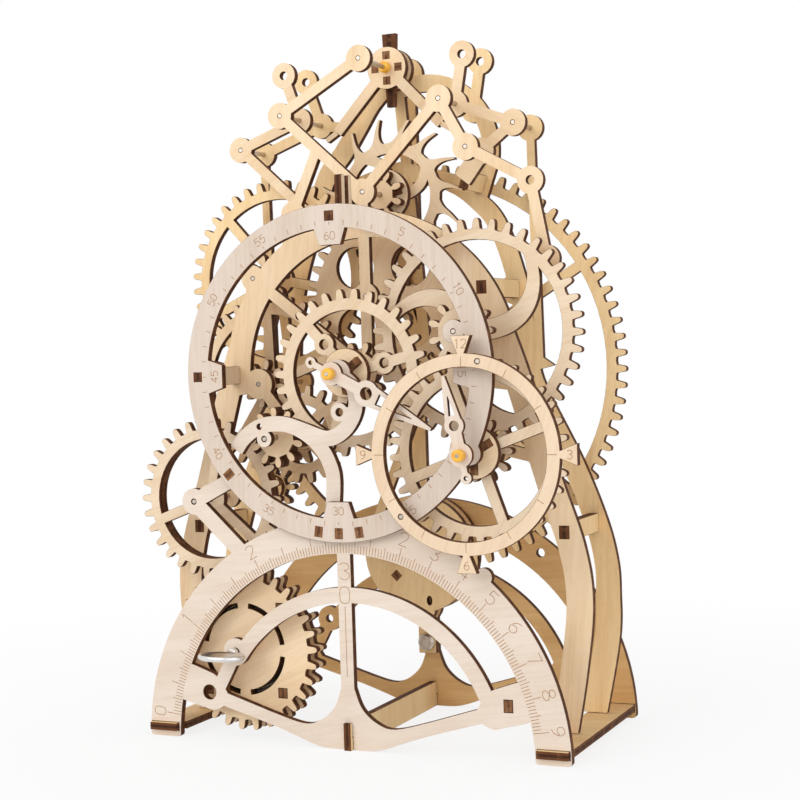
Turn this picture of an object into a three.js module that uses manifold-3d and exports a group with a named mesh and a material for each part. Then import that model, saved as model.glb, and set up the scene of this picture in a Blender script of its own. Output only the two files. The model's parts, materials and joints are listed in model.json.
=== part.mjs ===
// Pendulum clock of laser-cut plywood: two arched frames, two movement plates, a train of wheels,
// a minute dial with a small hour dial in front of it, and a pendulum behind.
// Millimetres. X is to the right, Y runs away from the viewer and Z is up. The origin is on the
// floor, in the middle of the front arch, at its front face.
import * as THREE from "three";
import { mergeVertices } from "three/addons/utils/BufferGeometryUtils.js";
import Module from "manifold-3d";

const wasm = await Module();
wasm.setup();

// Sheet stock, steel pins and gaps
const sheet = 3;
const handSheet = 2;
const arborR = 1;
const runGap = 0.3;
const seatGap = 0.3;
const handGap = 0.6;
const cutOver = 1;
const arborProud = 1;

// Gaps in depth between neighbouring layers, front to back
const dialGap = 3.2;
const hourWheelGap = 1;
const minuteWheelGap = 3;
const motionWheelGap = 3;
const frontPlateGap = 5;
const interWheelGap = 2;
const trainGap = 3;
const thirdWheelGap = 2.5;
const escapeGap = 1.5;
const rearPlateGap = 1;
const rearWheelGap = 0.8;
const bobGap = 0.7;
const backFrameGap = 1.9;

// Layers: the front face of each, measured back from the front arch
const archY = 0;
const minuteDialY = archY - seatGap - sheet;
const hourDialY = minuteDialY - dialGap - sheet;
const minuteHandY = minuteDialY - handGap - handSheet;
const hourHandY = hourDialY - handGap - handSheet;
const hourWheelY = archY + sheet + hourWheelGap;
const minuteWheelY = hourWheelY + sheet + minuteWheelGap;
const firstWheelY = minuteWheelY + sheet;
const barrelFrontY = firstWheelY - 2 * sheet;
const motionWheelY = firstWheelY + sheet + motionWheelGap;
const frontPlateY = motionWheelY + sheet + frontPlateGap;
const interWheelY = frontPlateY + sheet + interWheelGap;
const secondWheelY = interWheelY + sheet + trainGap;
const fourthWheelY = secondWheelY + sheet + trainGap;
const leverY = fourthWheelY;
const thirdWheelY = fourthWheelY + sheet + thirdWheelGap;
const escapeY = thirdWheelY + sheet + escapeGap;
const rotorY = escapeY + 2 * sheet;
const rearPlateY = rotorY + sheet + rearPlateGap;
const rearWheelY = rearPlateY + sheet + rearWheelGap;
const bobFrontY = rearWheelY + sheet + bobGap;
const rodY = bobFrontY + sheet + seatGap;
const bobRearY = rodY + sheet + seatGap;
const backFrameY = bobRearY + sheet + backFrameGap;

// Teeth
const toothModule = 2.07;
const addendum = 1.8;
const dedendum = 2.3;
const wheelRootShare = 0.3;
const wheelTipShare = 0.11;
const pinionRootShare = 0.24;
const pinionTipShare = 0.1;
const pinionProud = 0.5;

// Tooth counts
const barrelTeeth = 30;
const firstTeeth = 30;
const interPinionTeeth = 10;
const minuteTeeth = 30;
const minutePinionTeeth = 10;
const motionTeeth = 40;
const motionPinionTeeth = 11;
const hourTeeth = 33;
const hourPinionTeeth = 10;
const interWheelTeeth = 18;
const secondPinionTeeth = 8;
const secondTeeth = 34;
const thirdPinionTeeth = 8;
const thirdTeeth = 39;
const fourthPinionTeeth = 11;
const fourthTeeth = 32;
const escapePinionTeeth = 8;
const rearPinionTeeth = 8;
const rearTeeth = 80;

// Axes in the X-Z plane, each reached from the one before by its centre distance and direction
const minuteZ = 145.3;
const anchorReach = 52.8;
const firstTurn = 217;
const barrelTurn = -74.2;
const motionTurn = 16.3;
const hourTurn = -83.5;
const secondTurn = 128.74;
const thirdTurn = 91.29;
const fourthTurn = -10.5;
const rearTurn = 33.4;
const minuteAxis = [0, minuteZ];
const interAxis = polar(minuteAxis, meshReach(minuteTeeth, interPinionTeeth), firstTurn);
const firstAxis = polar(interAxis, meshReach(interPinionTeeth, firstTeeth), firstTurn);
const barrelAxis = polar(firstAxis, meshReach(firstTeeth, barrelTeeth), barrelTurn);
const motionAxis = polar(minuteAxis, meshReach(minutePinionTeeth, motionTeeth), motionTurn);
const hourAxis = polar(motionAxis, meshReach(motionPinionTeeth, hourTeeth), hourTurn);
const secondAxis = polar(interAxis, meshReach(interWheelTeeth, secondPinionTeeth), secondTurn);
const thirdAxis = polar(secondAxis, meshReach(secondTeeth, thirdPinionTeeth), thirdTurn);
const fourthAxis = polar(thirdAxis, meshReach(thirdTeeth, fourthPinionTeeth), fourthTurn);
const escapeAxis = polar(fourthAxis, meshReach(fourthTeeth, escapePinionTeeth), 90);
const rearAxis = polar(firstAxis, meshReach(rearPinionTeeth, rearTeeth), rearTurn);
const anchorAxis = [escapeAxis[0], escapeAxis[1] + anchorReach];

// Arched frames and base
const archR = 90;
const archWidth = 14;
const archSeat = 4.2;
const innerBandR = 63;
const innerBandWidth = 6;
const innerBandX = 2;
const postWidth = 5.6;
const bearingHubR = 5.3;
const barrelHubR = 5.5;
const frameHole = 3.1;
const baseZ = 2.6;
const baseReach = 15;
const baseInnerX = archR - baseReach;
const baseInset = 0.5;
const baseTabWidth = 9;
const sparHeight = 10.6;
const sparProud = 1.8;
const bridgeWidth = 6;
const bridgeReach = 44;
const bridgeFootTurn = 93.2;
const bridgeLugR = 3.2;
const bridgeRingR = 3.6;
const bridgeRingHole = 1.7;
const bracketWidth = 6.6;
const bracketFootTurn = 120.4;
const bracketStub = 20.8;
const bracketStubTurn = 26.6;
const archBumpR = 3.4;
const archBumpSink = 0.6;
const archBumpTurn = 50;

// Movement plates
const plateRingR = 64;
const plateRingWidth = 10.5;
const legWidth = 10.5;
const legFootX = 77;
const legTrim = 40;
const frontLegTurn = 12.2;
const linkWidth = 4.2;
const linkReach = 41;
const linkBranchShare = 0.45;
const strutWidth = 4.6;
const lobeR = 6.3;
const openRingHole = 1.8;
const openRingReach = 38;
const hourStrut = 17.6;
const hourStrutTurn = -13;
const firstStrut = 11.4;
const barrelStrut = 36;
const barrelStrutTurn = 165;
const rearTopDrop = 41.1;
const rearTopWidth = 7;
const rearArchR = 32.5;
const rearArchWidth = 7;
const rearLimbWidth = 8.5;
const hangerWidth = 3.4;
const hangerLean = 1.2;
const finReach = 11;
const finRise = 2.6;
const finTipDrop = 2.5;
const finDrop = 10;
const pillarWidth = 4;
const pillarHeight = 5;
const pillarBody = 7.3;
const pillarLowX = 80.3;
const pillarLowZ = 82.5;
const pillarHighTurn = 32.5;
const pillarTopTurn = -18;
const leverStub = 7.5;

// Dials and hands
const minuteDialR = 64.7;
const minuteDialWidth = 9;
const flagDepth = 6.6;
const flagOuter = 7;
const flagInner = 4.5;
const hourDialR = 37.1;
const hourDialWidth = 5;
const hourFlagReach = 45;
const hourFlagHalf = 4;
const hourPinTurns = [79.2, 221.6];
const dialPostSide = 3.6;
const dialPostBody = 7.3;
const dialForkRise = 16.5;
const dialForkGap = 5.7;
const dialForkStep = 6;
const lugR = 4.4;
const bushR = 2.3;
const bushLength = 3.4;
const bushSocket = 2;
const minuteHandTurn = -28;
const minuteHandReach = 46;
const hourHandTurn = 102;
const hourHandReach = 29.5;
const minuteRingReach = 16.5;
const minuteRingR = 4.6;
const minuteTailReach = 9.6;
const hourRingReach = 11;
const hourRingR = 3.4;
const hourTailReach = 8.6;
const handHubR = 4.3;
const handTailR = 2.1;
const handTailHole = 0.9;
const handStem = 2.6;
const handTine = 1.6;
const handTineTurn = 55;
const flagNeck = 1;

// Wheels
const rimWidth = 4.2;
const wheelHubR = 6.5;
const spokeWidth = 4.2;
const rearSpokeTurn = 31;
const firstSpokeTurn = 200;
const minuteSpokeTurn = 13;
const minuteSpokeRingR = 4.2;
const hourSpokeTurn = 20;
const secondSpokeTurn = 20;
const thirdSpokeTurn = 60;
const interSpokeTurn = 45;
const motionArmTurn = 4;
const motionArmSweep = 44;
const motionArmWidth = 8;
const fourthHoleR = 8.5;
const fourthHoleReach = 17.5;
const barrelSlotR = 18.5;
const barrelSlotWidth = 2;
const barrelSlotSpan = 74;
const barrelTabs = 4;
const barrelTabR = 24;
const barrelTabSide = 3.4;
const springOuterR = 15.6;
const springInnerR = 4.2;
const springThick = 1.3;
const springTurns = 2.5;
const windArborR = 1.5;
const keyBowLong = 10;
const keyBowWide = 6.5;
const keyBowThick = 2;
const keyBowSink = 1;
const keyCollarR = 3;
const keyCollarLength = 5;
const keySocketDepth = 3;
const escapeTeeth = 15;
const escapeR = 32;
const escapeRootR = 22;
const escapeRim = 4.2;
const escapeArms = 4;
const escapeArmSweep = 35;

// Anchor and pendulum
const rotorR = 8.2;
const rotorTabSide = 3;
const rotorTabR = 5;
const palletX = 23.5;
const palletDrop = 24.6;
const palletWidth = 4.4;
const palletToeX = 5;
const palletToeDrop = 3;
const rotorKeyRise = 14.4;
const rotorKeyDrop = 15.6;
const rotorKeyTopHalf = 3.1;
const rotorKeyBottomHalf = 1.7;
const rodWidth = 7;
const bobZ = 67;
const bobR = 25;
const bobLobeZ = 44;
const bobLobeR = 7;
const bobDiamondX = 14;
const bobDiamondZ = 57;
const bobDiamondSide = 3.4;
const weightR = 6.5;
const weightZ = 30;
const tailWidth = 8;

function radians(degrees) {
  return (degrees * Math.PI) / 180;
}

function polar(from, reach, degrees) {
  const angle = radians(degrees);
  return [from[0] + reach * Math.cos(angle), from[1] + reach * Math.sin(angle)];
}

// Centre distance of two wheels in mesh
function meshReach(teethA, teethB) {
  return (toothModule * (teethA + teethB)) / 2;
}

// Phase that puts a gap of the second wheel on the line of a tooth of the first
function meshPhase(teethA, phaseA, axisA, teethB, axisB) {
  const line = Math.atan2(axisB[1] - axisA[1], axisB[0] - axisA[0]);
  const turns = 0.5 - (teethA * (phaseA - line)) / (2 * Math.PI);
  return line + Math.PI + (2 * Math.PI * turns) / teethB;
}

function solid(geometry) {
  geometry.deleteAttribute("normal");
  geometry.deleteAttribute("uv");
  const merged = mergeVertices(geometry, 1e-4);
  const mesh = new wasm.Mesh({
    numProp: 3,
    vertProperties: new Float32Array(merged.attributes.position.array),
    triVerts: new Uint32Array(merged.index.array),
  });
  return new wasm.Manifold(mesh);
}

// A prism of an X-Z outline between two depths
function prism(points, front, back) {
  const shape = new THREE.Shape(points.map(([x, z]) => new THREE.Vector2(x, z)));
  const geometry = new THREE.ExtrudeGeometry(shape, { depth: back - front, bevelEnabled: false });
  geometry.rotateX(Math.PI / 2);
  geometry.translate(0, back, 0);
  return solid(geometry);
}

function unite(bodies) {
  return bodies.reduce((whole, body) => whole.add(body));
}

function cut(body, cutters) {
  return cutters.reduce((rest, cutter) => rest.subtract(cutter), body);
}

function sides(radius) {
  return Math.max(6, 4 * Math.round(1.15 * Math.sqrt(radius)));
}

function arcPoints(centre, radius, from, to, steps) {
  const points = [];
  for (let i = 0; i <= steps; i += 1) {
    points.push(polar(centre, radius, from + ((to - from) * i) / steps));
  }
  return points;
}

function circlePoints(centre, radius) {
  const count = sides(radius);
  return arcPoints(centre, radius, 0, 360, count).slice(0, count);
}

function bandPoints(centre, outer, width, from, to) {
  const steps = Math.max(4, Math.round((sides(outer) * Math.abs(to - from)) / 360));
  const outside = arcPoints(centre, outer, from, to, steps);
  const inside = arcPoints(centre, outer - width, to, from, steps);
  return outside.concat(inside);
}

function barPoints(from, to, width) {
  const length = Math.hypot(to[0] - from[0], to[1] - from[1]);
  const across = [(-(to[1] - from[1]) * width) / (2 * length), ((to[0] - from[0]) * width) / (2 * length)];
  return [
    [from[0] - across[0], from[1] - across[1]],
    [to[0] - across[0], to[1] - across[1]],
    [to[0] + across[0], to[1] + across[1]],
    [from[0] + across[0], from[1] + across[1]],
  ];
}

function rectPoints(centre, width, height, degrees = 0) {
  const half = [polar([0, 0], width / 2, degrees), polar([0, 0], height / 2, degrees + 90)];
  const corner = (a, b) => [0, 1].map((i) => centre[i] + a * half[0][i] + b * half[1][i]);
  return [corner(-1, -1), corner(1, -1), corner(1, 1), corner(-1, 1)];
}

// A strip along a smooth curve, from one width to another
function stripPoints(route, width, steps, farWidth = width) {
  const curve = new THREE.SplineCurve(route.map(([x, z]) => new THREE.Vector2(x, z)));
  const left = [];
  const right = [];
  for (let i = 0; i <= steps; i += 1) {
    const point = curve.getPoint(i / steps);
    const along = curve.getTangent(i / steps);
    const half = (width + ((farWidth - width) * i) / steps) / 2;
    left.push([point.x - along.y * half, point.y + along.x * half]);
    right.unshift([point.x + along.y * half, point.y - along.x * half]);
  }
  return left.concat(right);
}

function mirrored(points, side) {
  return points.map(([x, z]) => [side * x, z]);
}

// One sheet of a layer: outlines added to it have its thickness, cutters reach past both faces
function layer(front, thickness = sheet) {
  const back = front + thickness;
  const add = (points) => prism(points, front, back);
  const punch = (points) => prism(points, front - cutOver, back + cutOver);
  return {
    add,
    punch,
    disc: (centre, radius) => add(circlePoints(centre, radius)),
    bar: (from, to, width) => add(barPoints(from, to, width)),
    band: (centre, outer, width, from, to) => add(bandPoints(centre, outer, width, from, to)),
    strip: (route, width, steps, farWidth) => add(stripPoints(route, width, steps, farWidth)),
    hole: (centre, radius) => punch(circlePoints(centre, radius)),
    slot: (centre, width, height, degrees) => punch(rectPoints(centre, width, height, degrees)),
  };
}

const centre = [0, 0];
const boreR = arborR + runGap;
const clock = new THREE.Group();

function addPiece(name, body, finish, axis = centre) {
  const result = body.getMesh();
  const geometry = new THREE.BufferGeometry();
  geometry.setAttribute("position", new THREE.Float32BufferAttribute(result.vertProperties, 3));
  geometry.setIndex(Array.from(result.triVerts));
  geometry.computeVertexNormals();
  const mesh = new THREE.Mesh(geometry, new THREE.MeshStandardMaterial(finish));
  mesh.name = name;
  mesh.position.set(axis[0], 0, axis[1]);
  clock.add(mesh);
}

const paleWood = { color: 0xe9d6ba, roughness: 0.75, metalness: 0 };
const wheelWood = { color: 0xe3c595, roughness: 0.75, metalness: 0 };
const rearWood = { color: 0xd2ab74, roughness: 0.75, metalness: 0 };
const steel = { color: 0xb9b6b0, roughness: 0.35, metalness: 1 };
const silicone = { color: 0xf0b23a, roughness: 0.5, metalness: 0 };

// Toothed outline with flat-topped teeth
function toothPoints(teeth, phase, rootShare, tipShare) {
  const pitchR = (toothModule * teeth) / 2;
  const step = (2 * Math.PI) / teeth;
  const points = [];
  for (let i = 0; i < teeth; i += 1) {
    const corners = [
      [pitchR - dedendum, -rootShare],
      [pitchR + addendum, -tipShare],
      [pitchR + addendum, tipShare],
      [pitchR - dedendum, rootShare],
    ];
    for (const [radius, share] of corners) {
      const angle = phase + (i + share) * step;
      points.push([radius * Math.cos(angle), radius * Math.sin(angle)]);
    }
  }
  return points;
}

function wheelRootR(teeth) {
  return (toothModule * teeth) / 2 - dedendum;
}

// Toothed rim with its hub, without spokes
function wheelRim(sheetLayer, teeth, phase) {
  const rim = sheetLayer.add(toothPoints(teeth, phase, wheelRootShare, wheelTipShare));
  return rim.subtract(sheetLayer.hole(centre, wheelRootR(teeth) - rimWidth));
}

function spokedWheel(front, teeth, phase, count, turn, ringR = 0) {
  const plate = layer(front);
  const innerR = wheelRootR(teeth) - rimWidth;
  const bodies = [wheelRim(plate, teeth, phase), plate.disc(centre, wheelHubR)];
  const holes = [plate.hole(centre, boreR)];
  for (let i = 0; i < count; i += 1) {
    const degrees = turn + (360 * i) / count;
    bodies.push(plate.bar(centre, polar(centre, innerR + rimWidth / 2, degrees), spokeWidth));
    if (ringR > 0) {
      const ringCentre = polar(centre, (innerR + wheelHubR) / 2, degrees);
      bodies.push(plate.disc(ringCentre, ringR));
      holes.push(plate.hole(ringCentre, ringR / 2));
    }
  }
  return cut(unite(bodies), holes);
}

// Crescent arms that sweep from the hub to the rim
function sweptWheel(front, teeth, phase, count, turn, sweep) {
  const plate = layer(front);
  const rimR = wheelRootR(teeth) - rimWidth / 2;
  const bodies = [wheelRim(plate, teeth, phase), plate.disc(centre, wheelHubR)];
  for (let i = 0; i < count; i += 1) {
    const degrees = turn + (360 * i) / count;
    const route = [0, 0.35, 0.7, 1].map((t) => polar(centre, rimR * t, degrees + sweep * t * t));
    bodies.push(plate.strip(route, motionArmWidth, 5));
  }
  return unite(bodies).subtract(plate.hole(centre, boreR));
}

function piercedWheel(front, teeth, phase, count, holeR, holeReach) {
  const plate = layer(front);
  const holes = [plate.hole(centre, boreR)];
  for (let i = 0; i < count; i += 1) {
    holes.push(plate.hole(polar(centre, holeReach, (360 * (i + 0.5)) / count), holeR));
  }
  return cut(plate.add(toothPoints(teeth, phase, wheelRootShare, wheelTipShare)), holes);
}

// Arbor with a leaf pinion between two depths
function pinionArbor(front, back, teeth, phase, pinionFront, pinionLength = sheet) {
  const arbor = prism(circlePoints(centre, arborR), front, back);
  const leaves = toothPoints(teeth, phase, pinionRootShare, pinionTipShare);
  return arbor.add(prism(leaves, pinionFront - pinionProud, pinionFront + pinionLength + pinionProud));
}

function alongY(axis, radius, front, back) {
  return prism(circlePoints(axis, radius), front, back);
}

// Points given in shares of the arch's radius
function archOutline(shares) {
  return shares.map(([x, z]) => [x * archR, z * archR]);
}

// Arched frame: ruler ring, inner band, post, side plates and bottom chord
function archFrame(front) {
  const plate = layer(front);
  const chordHalf = archOutline([
    [0, 0], [0.133, 0], [0.347, 0.078], [0.614, 0.153], [0.594, 0.211],
    [0.383, 0.144], [0.222, 0.102], [0.137, 0.12], [0.066, 0.18], [0.031, 0.267],
  ]);
  const sidePlate = archOutline([
    [0.614, 0.153], [0.66, 0.128], [0.836, 0.172], [0.878, 0.222],
    [0.867, 0.333], [0.786, 0.337], [0.644, 0.288], [0.594, 0.211],
  ]);
  const [postFoot, barrelFoot, sideHole] = archOutline([[0, 0.167], [-0.644, 0.222], [-0.686, 0.211]]);
  const bodies = [
    plate.band(centre, archR, archWidth, 0, 180),
    plate.band([innerBandX, 0], innerBandR, innerBandWidth, 20, 146),
    plate.bar(postFoot, [0, archR - archWidth / 2], postWidth),
    plate.disc(barrelAxis, barrelHubR),
    plate.bar(barrelAxis, barrelFoot, postWidth),
  ];
  bodies.push(plate.add(chordHalf.concat(mirrored(chordHalf, -1).slice(1).reverse())));
  const cutters = [
    plate.hole(barrelAxis, windArborR + runGap),
    plate.hole(sideHole, frameHole),
    plate.punch(rectPoints([0, 0], sheet + 2 * seatGap, sparHeight)),
  ];
  for (const side of [-1, 1]) {
    const tab = [side * (archR - archWidth / 2), baseZ + sheet / 2];
    bodies.push(plate.add(mirrored(sidePlate, side)));
    cutters.push(plate.slot(tab, baseTabWidth + 2 * seatGap, sheet + 2 * seatGap));
  }
  return cut(unite(bodies), cutters);
}

// Front arch with the first wheel's bracket and the S-shaped bridge of the minute arbor
function frontArch() {
  const plate = layer(archY);
  const place = ([x, z]) => [minuteAxis[0] + x * bridgeReach, minuteAxis[1] + z * bridgeReach];
  const bridge = [
    [-1.04, -0.664], [-0.953, -0.556], [-0.796, -0.456], [-0.605, -0.432], [-0.437, -0.467],
    [-0.288, -0.553], [-0.181, -0.66], [-0.114, -0.773], [-0.075, -0.942],
  ].map(place);
  const bridgeFoot = polar(centre, archR - archSeat, bridgeFootTurn);
  const swan = [
    [-0.437, -0.467], [-0.303, -0.513], [-0.201, -0.551], [-0.114, -0.566], [-0.019, -0.538],
    [0.08, -0.46], [0.147, -0.347], [0.165, -0.23], [0.13, -0.1],
  ].map(place);
  const bridgeRing = place([0.004, -0.338]);
  const body = unite([
    archFrame(archY),
    plate.disc(firstAxis, bearingHubR),
    plate.bar(firstAxis, polar(firstAxis, bracketStub, bracketStubTurn), bridgeWidth),
    plate.bar(firstAxis, polar(centre, archR - archSeat, bracketFootTurn), bracketWidth),
    plate.strip([...bridge, bridgeFoot], bridgeWidth, 18),
    plate.strip([...swan, minuteAxis], bridgeWidth, 18),
    plate.disc(minuteAxis, bearingHubR),
    plate.disc(interAxis, bridgeLugR),
    plate.bar(interAxis, bridge[2], strutWidth),
    plate.disc(bridgeRing, bridgeRingR),
    plate.bar(bridgeRing, swan[6], linkWidth),
    plate.disc(polar(centre, archR - archBumpSink, archBumpTurn), archBumpR),
  ]);
  const bores = [firstAxis, minuteAxis, interAxis, bridge[2]].map((axis) => plate.hole(axis, boreR));
  return cut(body, bores.concat(plate.hole(bridgeRing, bridgeRingHole)));
}

// Links of the top: joints are placed from the anchor's axis, in shares of the links' reach
function linkPoint(x, z) {
  return [anchorAxis[0] + x * linkReach, anchorAxis[1] + z * linkReach];
}

const linkB = linkPoint(-0.878, -0.48);
const linkC = linkPoint(-1.566, -0.724);
const linkD = linkPoint(-1.039, -0.012);
const linkF = linkPoint(0.824, -0.461);
const linkG = linkPoint(1.085, -0.937);
const linkH = linkPoint(0.91, 0.01);
const linkI = linkPoint(1.415, -0.69);
const linkJ = linkPoint(1.722, -1.295);
const linkK = linkPoint(-0.765, -1.46);
const linkL = linkPoint(1.859, -2.029);
const linkM = linkPoint(0.878, -1.198);

function chain(plate, points) {
  const bodies = points.map((point) => plate.disc(point, bearingHubR));
  for (let i = 1; i < points.length; i += 1) {
    bodies.push(plate.bar(points[i - 1], points[i], linkWidth));
  }
  return unite(bodies);
}

const pillarHigh = polar(minuteAxis, plateRingR - plateRingWidth / 2, pillarHighTurn);
const pillars = {
  pillar_left: [-pillarLowX, pillarLowZ],
  pillar_right: [pillarLowX, pillarLowZ],
  pillar_upper: pillarHigh,
};
const dialPostR = minuteDialR - minuteDialWidth / 2;
const dialPosts = {
  dial_post_top: polar(minuteAxis, dialPostR, 90),
  dial_post_left: polar(minuteAxis, dialPostR, 180),
};
const legFoot = baseZ + sheet + seatGap;

function pillarSlots(plate) {
  return Object.values(pillars).map((place) =>
    plate.slot(place, pillarWidth + 2 * seatGap, pillarHeight + 2 * seatGap));
}

// Route of a leg from the floor to its top: each bow is a share of the way up and a share of the
// leg's height outwards
function legRoute(top, bows) {
  const points = bows.map(([up, out]) => [legFootX + (top[0] - legFootX) * up + top[1] * out, top[1] * up]);
  return [[legFootX, 0], ...points, top];
}

function legs(plate, route, steps, topWidth) {
  const bodies = [1, -1].map((side) => plate.strip(mirrored(route, side), legWidth, steps, topWidth));
  const below = plate.punch(rectPoints([0, legFoot - legTrim / 2], 4 * archR, legTrim));
  return unite(bodies).subtract(below);
}

function frontPlate() {
  const plate = layer(frontPlateY);
  const ringMid = plateRingR - plateRingWidth / 2;
  const bows = [[0.178, 0.056], [0.349, 0.098], [0.482, 0.099], [0.653, 0.065], [0.888, 0.025]];
  const branch = [0, 1].map((i) => linkB[i] + (escapeAxis[i] - linkB[i]) * linkBranchShare);
  const turning = [minuteAxis, thirdAxis, fourthAxis, interAxis, motionAxis, hourAxis, firstAxis];
  const body = unite([
    legs(plate, legRoute(polar(minuteAxis, ringMid, frontLegTurn), bows), 10, legWidth),
    plate.band(minuteAxis, plateRingR, plateRingWidth, -8, 188),
    plate.bar(minuteAxis, escapeAxis, strutWidth),
    plate.bar(minuteAxis, thirdAxis, strutWidth),
    plate.bar(thirdAxis, polar(minuteAxis, ringMid, 150), bracketWidth),
    plate.bar(secondAxis, polar(minuteAxis, ringMid, 184), bracketWidth),
    plate.bar(secondAxis, interAxis, strutWidth),
    plate.bar(motionAxis, polar(minuteAxis, ringMid, motionTurn), strutWidth),
    plate.bar(hourAxis, polar(hourAxis, hourStrut, hourStrutTurn), strutWidth),
    plate.bar(firstAxis, polar(firstAxis, firstStrut, 180), strutWidth),
    plate.bar(barrelAxis, polar(barrelAxis, barrelStrut, barrelStrutTurn), strutWidth),
    plate.disc(secondAxis, lobeR),
    chain(plate, [anchorAxis, linkB, escapeAxis]),
    plate.bar(branch, linkK, linkWidth),
    plate.bar(linkK, polar(minuteAxis, ringMid, 128), linkWidth),
    plate.disc(linkK, bearingHubR),
    chain(plate, [escapeAxis, linkF, linkG, linkJ, linkL]),
    plate.disc(barrelAxis, bearingHubR),
    ...turning.map((axis) => plate.disc(axis, bearingHubR)),
  ]);
  const pinned = turning.concat([secondAxis, escapeAxis, anchorAxis, linkB, linkF]);
  const bores = pinned.map((axis) => plate.hole(axis, boreR));
  const openPlaces = [polar(minuteAxis, openRingReach, 142), linkJ];
  const openRings = openPlaces.map((place) => plate.hole(place, openRingHole));
  const posts = Object.values(dialPosts).map((place) =>
    plate.slot(place, dialPostSide + 2 * seatGap, dialPostSide + 2 * seatGap));
  const windBore = plate.hole(barrelAxis, windArborR + runGap);
  return cut(body, bores.concat(openRings, posts, pillarSlots(plate), windBore));
}

function rearPlate() {
  const plate = layer(rearPlateY);
  const arch = linkPoint(0.29, -0.856);
  const top = [anchorAxis[0], anchorAxis[1] - rearTopDrop];
  const turning = [rearAxis, fourthAxis, escapeAxis, thirdAxis, secondAxis, firstAxis, anchorAxis];
  const route = legRoute(top, [
    [0.154, 0.084], [0.236, 0.116], [0.293, 0.133], [0.363, 0.14], [0.464, 0.135], [0.582, 0.117],
    [0.648, 0.12], [0.77, 0.148], [0.884, 0.151], [0.934, 0.129], [0.972, 0.087],
  ]);
  const [waist, flank, shoulder] = [route[6], route[7], route[8]];
  const limb = [
    linkPoint(-0.073, -0.088), linkPoint(-0.293, -0.295), linkPoint(-0.463, -0.539),
    linkPoint(-0.634, -0.783), linkPoint(-0.829, -1.015), linkPoint(-1, -1.454),
  ];
  const fin = [
    [-legWidth / 2, finRise], [finReach / 3, finRise], [finReach, -finTipDrop],
    [0, -finDrop / 2], [-legWidth / 2, -finDrop],
  ].map(([x, z]) => [flank[0] + x, flank[1] + z]);
  const hangers = [linkC, linkI].map((from) =>
    plate.bar(from, [from[0] + hangerLean, flank[1] - finTipDrop + sheet / 2], hangerWidth));
  const body = unite([
    legs(plate, route, 24, rearTopWidth),
    plate.disc(top, rearTopWidth / 2),
    plate.band(arch, rearArchR, rearArchWidth, -14, 112),
    plate.bar(polar(arch, rearArchR - rearArchWidth / 2, -10), route[10], rearArchWidth),
    plate.strip(limb, rearLimbWidth, 10),
    plate.bar(linkB, limb[2], linkWidth),
    plate.add(fin),
    plate.add(mirrored(fin, -1).reverse()),
    plate.disc(pillarHigh, lobeR),
    plate.bar(rearAxis, anchorAxis, strutWidth),
    plate.bar(fourthAxis, shoulder, strutWidth),
    plate.bar(fourthAxis, mirrored([shoulder], -1)[0], strutWidth),
    plate.bar(fourthAxis, escapeAxis, strutWidth),
    plate.bar(rearAxis, fourthAxis, strutWidth),
    plate.bar(secondAxis, mirrored([waist], -1)[0], strutWidth),
    plate.bar(firstAxis, polar(firstAxis, firstStrut, 180), strutWidth),
    chain(plate, [linkD, linkB, linkC]),
    chain(plate, [linkH, linkF, linkI]),
    ...hangers,
    ...turning.map((axis) => plate.disc(axis, bearingHubR)),
  ]);
  const pinned = turning.concat([linkB, linkC, linkF, linkI]);
  const bores = pinned.map((axis) => plate.hole(axis, boreR));
  const openRings = [linkD, linkH].map((place) => plate.hole(place, openRingHole));
  return cut(body, bores.concat(openRings, pillarSlots(plate)));
}

// An ornamental lever: its first joint is an open ring, the next two are pinned, the last is blind
function lever(plate, points) {
  const bores = points.slice(1, 3).map((point) => plate.hole(point, boreR));
  return cut(chain(plate, points), bores.concat(plate.hole(points[0], openRingHole)));
}

// Short spacer between the right lever's stub and the rear plate
function topPillar() {
  const outline = rectPoints(linkM, pillarWidth, pillarBody, pillarTopTurn);
  return prism(outline, leverY + sheet + seatGap, rearPlateY - seatGap);
}

function pillar(place) {
  const tabs = prism(rectPoints(place, pillarWidth, pillarHeight), frontPlateY, rearPlateY + sheet);
  const middle = rectPoints(place, pillarWidth, pillarBody);
  return tabs.add(prism(middle, frontPlateY + sheet + seatGap, rearPlateY - seatGap));
}

function dialPost(place) {
  return prism(rectPoints(place, dialPostSide, dialPostSide), minuteDialY, frontPlateY + sheet);
}

// The left post is deeper behind the dial, and the top one carries a fork of two prongs
function deepPost(place) {
  const middle = rectPoints(place, dialPostSide, dialPostBody);
  return dialPost(place).add(prism(middle, minuteDialY + sheet + seatGap, frontPlateY - seatGap));
}

function forkPost(place) {
  const prong = rectPoints([place[0], place[1] + dialForkRise / 2], sheet, dialForkRise);
  const fronts = [0, 1].map((i) => minuteDialY + sheet + dialForkGap + i * dialForkStep);
  return unite([dialPost(place), ...fronts.map((front) => prism(prong, front, front + sheet))]);
}

// Horizontal bar of the base with a tab at each end in the arches' feet
function baseBar(side) {
  const inside = archR - baseInset;
  const tabMid = archR - archWidth / 2;
  const front = archY + sheet + seatGap;
  const back = backFrameY - seatGap;
  const half = baseTabWidth / 2;
  const outline = [
    [baseInnerX, front], [tabMid - half, front], [tabMid - half, archY], [tabMid + half, archY],
    [tabMid + half, front], [inside, front], [inside, back], [tabMid + half, back],
    [tabMid + half, backFrameY + sheet], [tabMid - half, backFrameY + sheet], [tabMid - half, back],
    [baseInnerX, back],
  ];
  const shape = new THREE.Shape(mirrored(outline, side).map(([x, y]) => new THREE.Vector2(x, y)));
  const geometry = new THREE.ExtrudeGeometry(shape, { depth: sheet, bevelEnabled: false });
  geometry.translate(0, 0, baseZ);
  return solid(geometry);
}

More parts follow.
